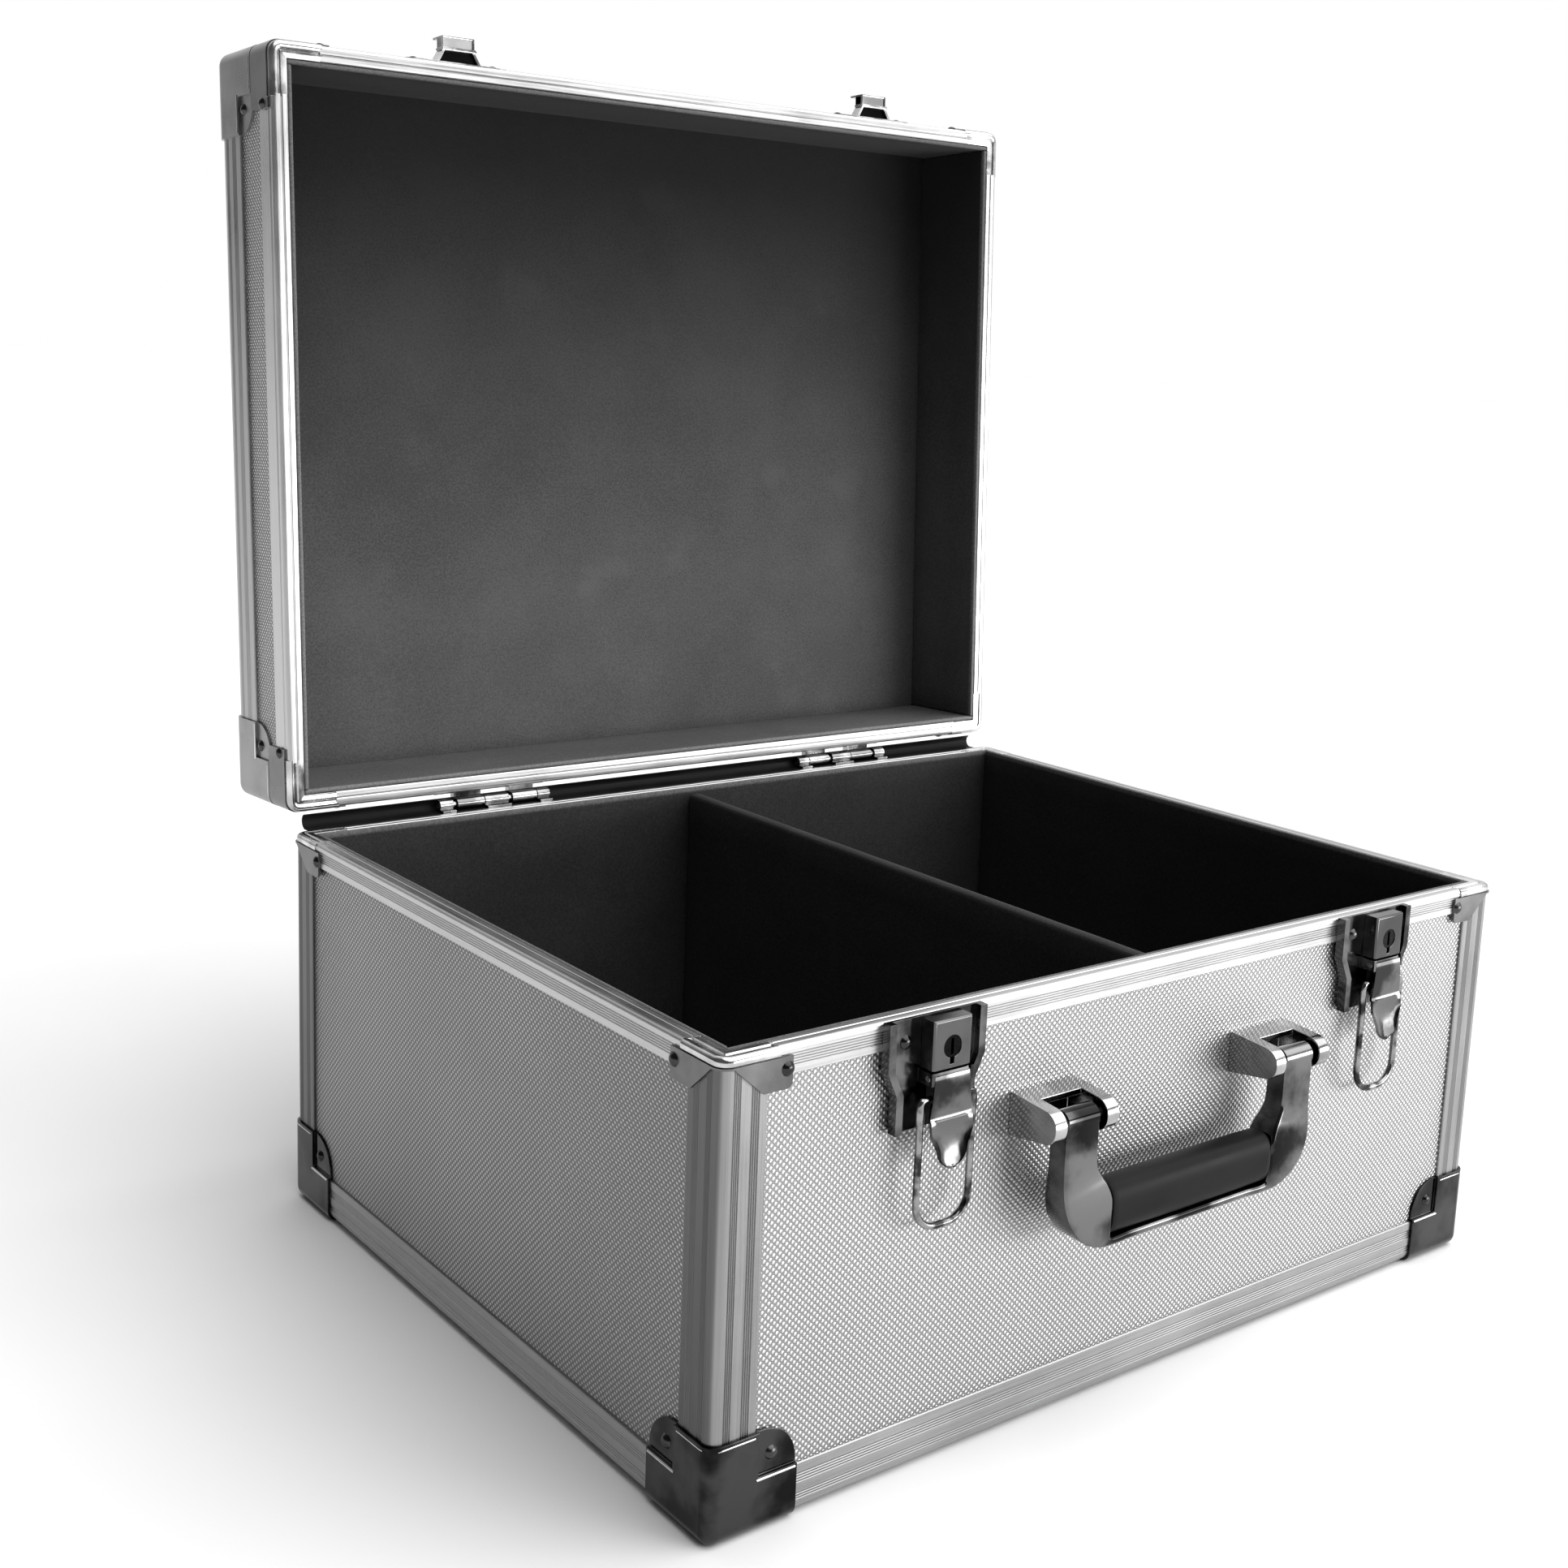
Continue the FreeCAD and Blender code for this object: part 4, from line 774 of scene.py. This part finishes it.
def felt():
    # Painted light: the lid felt is painted paler than the base felt, and the divider's felt between them, as
    # lit and shaded copies of one felt.
    base_felt = black_felt("base_felt", 0.010, 0.022, 0.9, 1.6, RIM)
    lid_felt = black_felt("lid_felt", 0.024, 0.046, 0.22, 2.3, LID_RIM)
    floor = BOTTOM + WALL
    ceiling = LID_TOP - WALL
    soft = 0.9 * MM
    low = (LEFT + CORE, FRONT + CORE, BOTTOM + CORE)
    high = (RIGHT - CORE, BACK - CORE, floor)
    felt_piece("base_floor_felt", [(low, high)], soft, base_felt, "base", False, "base_floor_lining")
    walls = wall_blocks(floor, RIM)
    felt_piece("base_wall_felt", walls, soft, base_felt, "base", False, "base_wall_lining")
    low = (LEFT + CORE, FRONT + CORE, ceiling)
    high = (RIGHT - CORE, BACK - CORE, LID_TOP - CORE)
    felt_piece("lid_top_felt", [(low, high)], soft, lid_felt, "lid_body", True, "lid_top_lining")
    walls = wall_blocks(LID_RIM, ceiling)
    felt_piece("lid_wall_felt", walls, soft, lid_felt, "lid_body", True, "lid_wall_lining")
    divider_low, divider_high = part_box("divider")
    board = [(divider_low, divider_high)]
    divider_felt = black_felt("divider_felt", 0.014, 0.034)
    felt_piece("divider_felted", board, 2.2 * MM, divider_felt, "base", False, "divider")


# -------------------------------------------------- grip


def grip():
    """The moulded grip: a bar of rounded section, a little fuller in the middle, with eased ends."""
    low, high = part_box("handle_grip")
    middle = (low + high) / 2
    half = (high - low) / 2
    shape = bmesh.new()
    stations = [-1.0, -0.992, -0.975, -0.94, -0.8, -0.5, 0.0, 0.5, 0.8, 0.94, 0.975, 0.992, 1.0]
    fullness = [0.86, 0.93, 0.965, 0.975, 0.98, 0.99, 1.0, 0.99, 0.98, 0.975, 0.965, 0.93, 0.86]
    count = 40
    power = 2.0 / 2.7
    rings = []
    for station, full in zip(stations, fullness):
        ring = []
        for i in range(count):
            turn = math.tau * i / count
            c, s = math.cos(turn), math.sin(turn)
            y = math.copysign(abs(c) ** power, c) * half.y * full
            z = math.copysign(abs(s) ** power, s) * half.z * full
            ring.append((middle.x + half.x * station, middle.y + y, middle.z + z))
        rings.append(ring)
    add_loft(shape, rings)
    mesh = finished_mesh("grip_moulded", shape)
    plastic = black_grip("grip_plastic")
    place_piece("grip_moulded", mesh, "handle_body", plastic, False, ["handle_grip"])


# -------------------------------------------------- handle frame


def blend_stations(stations, steps):
    """More stations between the given ones, on a smooth curve through them."""
    made = []
    last = len(stations) - 1
    for i in range(last):
        before, a = stations[max(i - 1, 0)], stations[i]
        b, after = stations[i + 1], stations[min(i + 2, last)]
        for step in range(steps):
            t = step / steps
            made.append([catmull(t, *four) for four in zip(before, a, b, after)])
    return made + [stations[-1]]


def catmull(t, before, a, b, after):
    """A Catmull-Rom curve's value between a and b."""
    linear = (b - before) * t
    square = (2 * before - 5 * a + 4 * b - after) * t * t
    cube = (3 * a - before - 3 * b + after) * t * t * t
    return 0.5 * (2 * a + linear + square + cube)


def rounded_section(a, b, half_depth, middle_y, radius):
    """A rounded rectangle from point a to point b in the XZ plane, half_depth to each side in Y."""
    centre, half = (a + b) / 2, (b - a).length / 2
    along = (b - a).normalized()
    radius = min(radius, half * 0.9, half_depth * 0.9)
    points = []
    for quarter, (su, sv) in enumerate(((1, 1), (-1, 1), (-1, -1), (1, -1))):
        for step in range(5):
            turn = math.radians(90 * quarter + 22.5 * step)
            u = su * (half - radius) + radius * math.cos(turn)
            v = sv * (half_depth - radius) + radius * math.sin(turn)
            points.append(centre + along * u + Vector((0, middle_y + v, 0)))
    return points


def add_barrel(shape, x0, x1, y, z, radius):
    """A short round bar along X with eased ends."""
    edge, sides = 0.5 * MM, 32
    rings = []
    for x, r in ((x0, radius - edge), (x0 + edge, radius), (x1 - edge, radius), (x1, radius - edge)):
        turns = [math.tau * i / sides for i in range(sides)]
        rings.append([Vector((x, y + r * math.cos(t), z + r * math.sin(t))) for t in turns])
    add_loft(shape, rings)


def handle_frame():
    """The cast stirrup: two arms that flare into shoulders round the grip, and a thin strap below it."""
    low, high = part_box("handle_frame")
    grip_low, grip_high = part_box("handle_grip")
    middle = (low.x + high.x) / 2
    y = (low.y + high.y) / 2
    outer = (high.x - low.x) / 2
    barrel = (high.y - low.y) / 2
    pivot_z = high.z - barrel
    grip_end = (grip_high.x - grip_low.x) / 2
    inner = outer - 15.6 * MM
    corner = 24.0 * MM
    bend_x, bend_z = outer - corner, low.z + corner
    strap = grip_low.z

    def bend(degrees):
        turn = math.radians(degrees)
        return bend_x + corner * math.cos(turn), bend_z - corner * math.sin(turn)

    half = [
        (outer, pivot_z, inner, pivot_z, barrel),
        (outer, pivot_z - 9 * MM, inner, pivot_z - 9 * MM, barrel),
        (outer, pivot_z - 17 * MM, inner - 0.3 * MM, pivot_z - 17 * MM, barrel + 0.1 * MM),
        (outer, bend_z + 1 * MM, inner - 2.4 * MM, bend_z + 3.6 * MM, barrel + 0.5 * MM),
        (*bend(12), grip_end + 2.4 * MM, grip_high.z + 0.6 * MM, barrel + 1.2 * MM),
        (*bend(30), grip_end + 0.2 * MM, grip_high.z - 5.0 * MM, barrel + 1.9 * MM),
        (*bend(52), grip_end, strap + 8.0 * MM, barrel + 1.9 * MM),
        (*bend(72), grip_end - 0.2 * MM, strap + 2.4 * MM, barrel + 1.6 * MM),
        (bend_x - 1 * MM, low.z, grip_end - 1.6 * MM, strap, barrel + 1.0 * MM),
        (bend_x - 9 * MM, low.z, bend_x - 9 * MM, strap, barrel + 0.6 * MM),
    ]
    right = blend_stations(half, 5)
    rings = []
    for side, stations in ((1, right), (-1, right[::-1])):
        for ax, az, bx, bz, depth in stations:
            a, b = Vector((middle + side * ax, 0, az)), Vector((middle + side * bx, 0, bz))
            rings.append(rounded_section(a, b, depth, y, 1.3 * MM))
    shape = bmesh.new()
    add_loft(shape, rings)
    for side in (1, -1):
        ends = sorted((middle + side * outer, middle + side * inner))
        add_barrel(shape, *ends, y, pivot_z, barrel)
    mesh = finished_mesh("handle_stirrup", shape, 40)
    # The stirrup's dark base colour is a painted dark reflection.
    material = bright_steel("stirrup_chrome", 0.012, 0.17, 0.07, 0.16, scale=38.0, contrast=0.10)
    place_piece("handle_stirrup", mesh, "handle_body", material, False, ["handle_frame"])


# -------------------------------------------------- latches


def lever_rows(barrel):
    """(y, z, half width, dish) down the lever's front, from behind its roll to the tip of its tongue."""
    half, flare, tip_radius = 7.5 * MM, 9.0 * MM, 6.3 * MM
    bend, length, kick = 13.8 * MM, 30.4 * MM, 2.0 * MM
    rows = []
    for degrees in (205, 180, 150, 120, 90, 65, 40, 18):
        turn = math.radians(degrees)
        rows.append((-barrel * math.cos(turn), barrel * math.sin(turn), half, 0.0))
    for down in (1.5, 4.0, 7.0, 10.0, 12.6):
        width = half + (flare - half) * down * MM / bend
        rows.append((-barrel - 0.25 * MM * math.sin(math.pi * down * MM / bend), -down * MM, width, 0.0))
    rows.append((-barrel - 0.15 * MM, -bend, flare, 0.0))
    rows.append((-barrel - 0.75 * MM, -bend - 0.7 * MM, flare, 0.10))
    centre = length - tip_radius
    for down in (16.5, 18.8, 21.4, 24.0, 26.4, 28.4, 29.6, 30.2, 30.39):
        z = down * MM
        if z > centre:
            width = math.sqrt(max(tip_radius ** 2 - (z - centre) ** 2, 0.0))
        else:
            width = tip_radius + (flare - tip_radius) * min(1.0, (centre - z) / (centre - bend - 5 * MM))
        travel = (z - bend) / (length - bend)
        dish = 1.1 * math.sin(math.pi * min(1.0, travel * 1.05)) + 0.15
        rows.append((-barrel - 0.5 * MM - kick * travel, -z, max(width, 0.4 * MM), dish))
    return rows


def lever(side):
    """The folded thumb lever: a rolled top, a flat body with wings behind it and a dished tongue."""
    node = "latch_lever_" + side
    low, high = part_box(node)
    barrel = 2.2 * MM
    x, z = (low.x + high.x) / 2, high.z - barrel
    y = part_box("lever_pins")[0].y + 1.1 * MM
    shape = bmesh.new()
    columns = 12
    grid = []
    for dy, dz, width, dish in lever_rows(barrel):
        line = []
        for i in range(columns + 1):
            u = -1 + 2 * i / columns
            press = dish * MM * (1 - u * u) - 0.35 * MM * dish * u ** 6
            line.append(shape.verts.new((x + u * width, y + dy + press, z + dz)))
        grid.append(line)
    for a, b in zip(grid, grid[1:]):
        for i in range(columns):
            shape.faces.new((a[i], a[i + 1], b[i + 1], b[i]))
    bmesh.ops.recalc_face_normals(shape, faces=shape.faces)
    bmesh.ops.solidify(shape, geom=shape.faces[:], thickness=1.0 * MM)
    wing = [
        (-barrel + 0.9 * MM, 0.5 * MM),
        (-barrel + 0.9 * MM, -12.6 * MM),
        (-0.4 * MM, -12.2 * MM),
        (barrel - 0.5 * MM, -9.4 * MM),
        (barrel, -7.5 * MM),
        (barrel, 0.5 * MM),
    ]
    for start in (-7.5 * MM, 6.3 * MM):
        add_prism(shape, wing, lambda a, b, t: (x + t, y + a, z + b), start, start + 1.2 * MM)
    mesh = finished_mesh(node + "_folded", shape, 40)
    # The lever's dark base colour is a painted dark reflection.
    material = bright_steel(node + "_chrome", 0.03, 0.14, 0.09, 0.20, scale=60.0, contrast=0.09)
    place_piece(node + "_folded", mesh, node + "_body", material, False, [node])


def bail_path(half, length, turn):
    """(x, z, in-plane scale, depth scale) along the bail, from one stub to the other."""
    corner = 1.6 * MM
    side = [(6.4 * MM, 0.0, 0.85, 0.85), (half - corner, 0.0, 0.85, 0.85)]
    for degrees in (30, 60, 90):
        t = math.radians(degrees)
        side.append((half - corner + corner * math.sin(t), -corner + corner * math.cos(t), 1.0, 0.9))
    side += [(half, -3.2 * MM, 1.35, 0.85), (half, -6.5 * MM, 1.35, 0.85), (half, -8.6 * MM, 1.0, 1.0)]
    side += [(half, -16 * MM, 1.0, 1.0), (half, -26 * MM, 1.0, 1.0)]
    for degrees in range(0, 91, 10):
        t = math.radians(degrees)
        side.append((half - turn + turn * math.cos(t), -length + turn - turn * math.sin(t), 1.0, 1.0))
    other = [(-a, b, c, d) for a, b, c, d in reversed(side)]
    return side + other


def bail(side):
    """The wire bail: stubs in the lever's wings, flattened tops to its legs and a round bottom."""
    node = "latch_bail_" + side
    low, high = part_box(node)
    wire = 1.3 * MM
    x, y, z = (low.x + high.x) / 2, (low.y + high.y) / 2, high.z - 1.9 * MM
    half = 11.5 * MM
    path = bail_path(half, z - low.z - wire, half * 0.8)
    rings = []
    for i, (px, pz, wide, deep) in enumerate(path):
        before, after = path[max(i - 1, 0)], path[min(i + 1, len(path) - 1)]
        run = Vector((after[0] - before[0], 0, after[1] - before[1])).normalized()
        across = Vector((run.z, 0, -run.x))
        ring = []
        for step in range(14):
            turn = math.tau * step / 14
            out = across * (wire * wide * math.cos(turn))
            deeper = Vector((0, wire * deep * math.sin(turn), 0))
            ring.append(Vector((x + px, y, z + pz)) + out + deeper)
        rings.append(ring)
    shape = bmesh.new()
    add_loft(shape, rings)
    mesh = finished_mesh(node + "_wire", shape, 60)
    # The bail's dark base colour is a painted dark reflection.
    material = bright_steel(node + "_chrome", 0.03, 0.30, 0.08, 0.18, scale=120.0, contrast=0.10)
    place_piece(node + "_wire", mesh, node + "_body", material, False, [node])


# -------------------------------------------------- lid catches, hinge strip


def add_box(shape, low, high, round_by, material):
    """Adds a block with eased edges, on the closed lid."""
    block = bmesh.new()
    centre = (Vector(low) + Vector(high)) / 2
    size = Vector(high) - Vector(low)
    bmesh.ops.create_cube(block, size=1.0)
    bmesh.ops.scale(block, vec=size, verts=block.verts)
    bmesh.ops.translate(block, vec=centre, verts=block.verts)
    bmesh.ops.bevel(block, geom=block.edges[:], offset=round_by, segments=2, affect="EDGES")
    for face in block.faces:
        face.material_index = material
    add_shape(shape, block)


HOOK_HALF = 25.0 * MM
# The hooks' metals, by their place in the piece's list of materials: DARK and GREY are the same metal painted
# darker, painted shade in the tunnel and on the recessed face.
SHINE, DARK, GREY = 0, 1, 2


def add_catch(shape, x):
    """One hook: a base with round ears, a tunnel on it painted black (painted shade), and a block with a lip
    over that, its recessed face painted grey (painted shade).

    start, seat, lip and end are levels on the closed lid; face, near and front are depths.
    """
    start, seat, lip, end = (LID_RIM + n * MM for n in (5.5, 11.0, 15.5, 17.0))
    face = FRONT - SKIN
    near = face - 4.8 * MM
    front = FRONT - 12.0 * MM
    half, foot, round_ear = 7.7 * MM, 10.5 * MM, 4.5 * MM
    ear = []
    corners = ((HOOK_HALF, end, 0), (-HOOK_HALF, end, 90), (-HOOK_HALF, start, 180), (HOOK_HALF, start, 270))
    for cx, cz, first in corners:
        inset_x = math.copysign(round_ear, cx)
        inset_z = round_ear if cz == end else -round_ear
        for degrees in range(first, first + 91, 15):
            t = math.radians(degrees)
            ear.append((cx - inset_x + round_ear * math.cos(t), cz - inset_z + round_ear * math.sin(t)))
    add_prism(shape, ear, lambda a, b, t: (x + a, t, b), FRONT, face)
    for side in (1, -1):
        wall = [(foot, face), (half, near), (half - 1.2 * MM, near), (foot - 1.3 * MM, face)]
        outline = [(side * a, b) for a, b in wall]
        add_prism(shape, outline, lambda a, b, t: (x + a, b, t), start, seat)
    inside_foot, inside_top = foot - 1.4 * MM, half - 1.0 * MM
    inside = [(inside_foot, face), (inside_top, near), (-inside_top, near), (-inside_foot, face)]
    add_prism(shape, inside, lambda a, b, t: (x + a, b, t), start + 1.5 * MM, seat)
    # Painted shade: the tunnel's inside faces take the black metal.
    for side in shape.faces[-len(inside) - 2:]:
        side.material_index = DARK
    frame_bar = 0.8 * MM
    lip_low = (x - half - 0.6 * MM, near - 1.3 * MM, start - frame_bar)
    add_box(shape, lip_low, (x + half + 0.6 * MM, near + 0.2 * MM, seat), 0.4 * MM, SHINE)
    block_low = (x - half, front + 0.6 * MM, start + 0.7 * MM)
    add_box(shape, block_low, (x + half, near - 1.0 * MM, seat), 0.3 * MM, GREY)
    add_box(shape, (x - half, front, start), (x + half, front + 0.9 * MM, lip), 0.4 * MM, SHINE)
    for edge in (x - half, x + half - frame_bar):
        high = (edge + frame_bar, near - 0.9 * MM, seat)
        add_box(shape, (edge, front, start), high, 0.25 * MM, SHINE)


def lid_catches():
    low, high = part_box("lid_catches")
    shape = bmesh.new()
    for x in (low.x + HOOK_HALF, high.x - HOOK_HALF):
        add_catch(shape, x)
    mesh = finished_mesh("lid_hooks", shape, 30)
    shine = bright_steel("hook_chrome", 0.42, 0.72, 0.16, 0.30, scale=80.0)
    # hook_inside and hook_recess are the hook's metal painted darker: painted shade in the tunnel and on the
    # recessed face.
    dark = bright_steel("hook_inside", 0.002, 0.005, 0.35, 0.5)
    grey = bright_steel("hook_recess", 0.22, 0.34, 0.30, 0.45)
    place_piece("lid_hooks", mesh, "lid_body", [shine, dark, grey], True, ["lid_catches"])


def hinge_strip():
    """A black strip that fills the gap behind the hinges with painted shade: a channel round their axis."""
    inner, outer, short = 2.95 * MM, 3.4 * MM, 7 * MM
    shape = bmesh.new()
    arc = [math.radians(degrees) for degrees in range(-105, 61, 15)]
    section = [(HINGE.y + outer * math.cos(t), HINGE.z + outer * math.sin(t)) for t in arc]
    section += [(HINGE.y + inner * math.cos(t), HINGE.z + inner * math.sin(t)) for t in reversed(arc)]
    section += [(BACK + SKIN, HINGE.z - inner), (BACK + SKIN, HINGE.z - outer)]
    add_prism(shape, section, lambda a, b, t: (t, a, b), LEFT + short, RIGHT - short)
    mesh = finished_mesh("hinge_gap_strip", shape, 30)
    place_piece("hinge_gap_strip", mesh, "base", black_grip("gap_shade_black"))


# -------------------------------------------------- CAD node finishes


def soften(piece, width):
    """Rounds a CAD piece's sharp edges a little with modifiers, so that they catch the light."""
    for polygon in piece.data.polygons:
        polygon.use_smooth = True
    if "custom_normal" in piece.data.attributes:
        piece.data.attributes.remove(piece.data.attributes["custom_normal"])
    weld = piece.modifiers.new("weld", "WELD")
    weld.merge_threshold = 0.005 * MM
    flat = piece.modifiers.new("flat", "DECIMATE")
    flat.decimate_type = "DISSOLVE"
    flat.angle_limit = math.radians(0.5)
    round_edges = piece.modifiers.new("edges", "BEVEL")
    round_edges.width = width
    round_edges.segments = 2
    round_edges.limit_method = "ANGLE"
    round_edges.angle_limit = math.radians(35)
    round_edges.use_clamp_overlap = True
    normals = piece.modifiers.new("normals", "WEIGHTED_NORMAL")
    normals.keep_sharp = True


def finish_node(node, material, width=0.0):
    piece = frame["nodes"][node]
    piece.data.materials.clear()
    piece.data.materials.append(material)
    if width:
        soften(piece, width)


# Each side: the axes its dots lie along, and the tone of the base's panel; the left and right panels are
# painted darker, painted shade.
SIDE_PANELS = [("front", "XZ", 1.0), ("back", "XZ", 1.0), ("left", "YZ", 0.7), ("right", "YZ", 0.7)]


def panels():
    lid_tone = 0.9
    for side, axes, tone in SIDE_PANELS:
        finish_node(f"base_{side}_panel", dimpled_panel(f"base_{side}_dimples", axes, False, tone))
        finish_node(f"lid_{side}_panel", dimpled_panel(f"lid_{side}_dimples", axes, True, lid_tone))
    finish_node("base_bottom_panel", dimpled_panel("base_bottom_dimples", "XY"))
    finish_node("lid_top_panel", dimpled_panel("lid_top_dimples", "XY", lid=True))


def hardware():
    """Finishes the small CAD nodes. Each row: the nodes, their metal, and how far their edges are rounded."""
    # Painted dark reflection: the dark base colours of the base caps, rivets, latch plates and lock housings
    # stand for dark surroundings mirrored in them. The lid caps are painted paler than the base caps: a
    # painted reflection.
    cap = bright_steel("cap_chrome", 0.010, 0.060, 0.08, 0.22, contrast=0.12)
    lid_cap = bright_steel("lid_cap_painted_paler", 0.20, 0.31, 0.26, 0.38)
    rivet = bright_steel("rivet_steel", 0.03, 0.08, 0.16, 0.30)
    chrome = bright_steel("chrome", 0.24, 0.50, 0.08, 0.18)
    latch = bright_steel("latch_chrome", 0.03, 0.15, 0.10, 0.20, scale=70.0, contrast=0.12)
    housing = bright_steel("housing_chrome", 0.07, 0.12, 0.10, 0.20)
    pin = bright_steel("pin_steel", 0.30, 0.50, 0.18, 0.30)
    hinge = bright_steel("hinge_chrome", 0.16, 0.36, 0.10, 0.22, scale=90.0, contrast=0.12)
    rows = [
        (["base_corner_caps"], cap, 0.3 * MM),
        (["lid_corner_caps"], lid_cap, 0.3 * MM),
        (["base_rivets", "lid_rivets"], rivet, 0.0),
        (["hinge_base_leaves", "hinge_lid_leaves"], hinge, 0.2 * MM),
        (["hinge_pins", "lever_pins", "handle_pins"], pin, 0.15 * MM),
        (["latch_plate_left", "latch_plate_right"], latch, 0.3 * MM),
        (["lock_housing_left", "lock_housing_right"], housing, 0.2 * MM),
        (["lock_cylinder_left"], lock_metal("lock_metal_left"), 0.1 * MM),
        (["lock_cylinder_right"], lock_metal("lock_metal_right"), 0.1 * MM),
        (["handle_bracket_left", "handle_bracket_right"], chrome, 0.4 * MM),
    ]
    for nodes, metal, rounding in rows:
        for node in nodes:
            finish_node(node, metal, rounding)


# -------------------------------------------------- scene


make_camera()
make_world()
make_floor()
make_sun()
soft_light("front_glow", (1.25, -1.75, 0.30), (0.0, -0.1, 0.12), (1.5, 0.6), 32)
bpy.context.scene.view_settings.view_transform = "Standard"

extrusions()
corner_fittings()
felt()
grip()
handle_frame()
lid_catches()
hinge_strip()
for hand in ("left", "right"):
    lever(hand)
    bail(hand)
panels()
hardware()
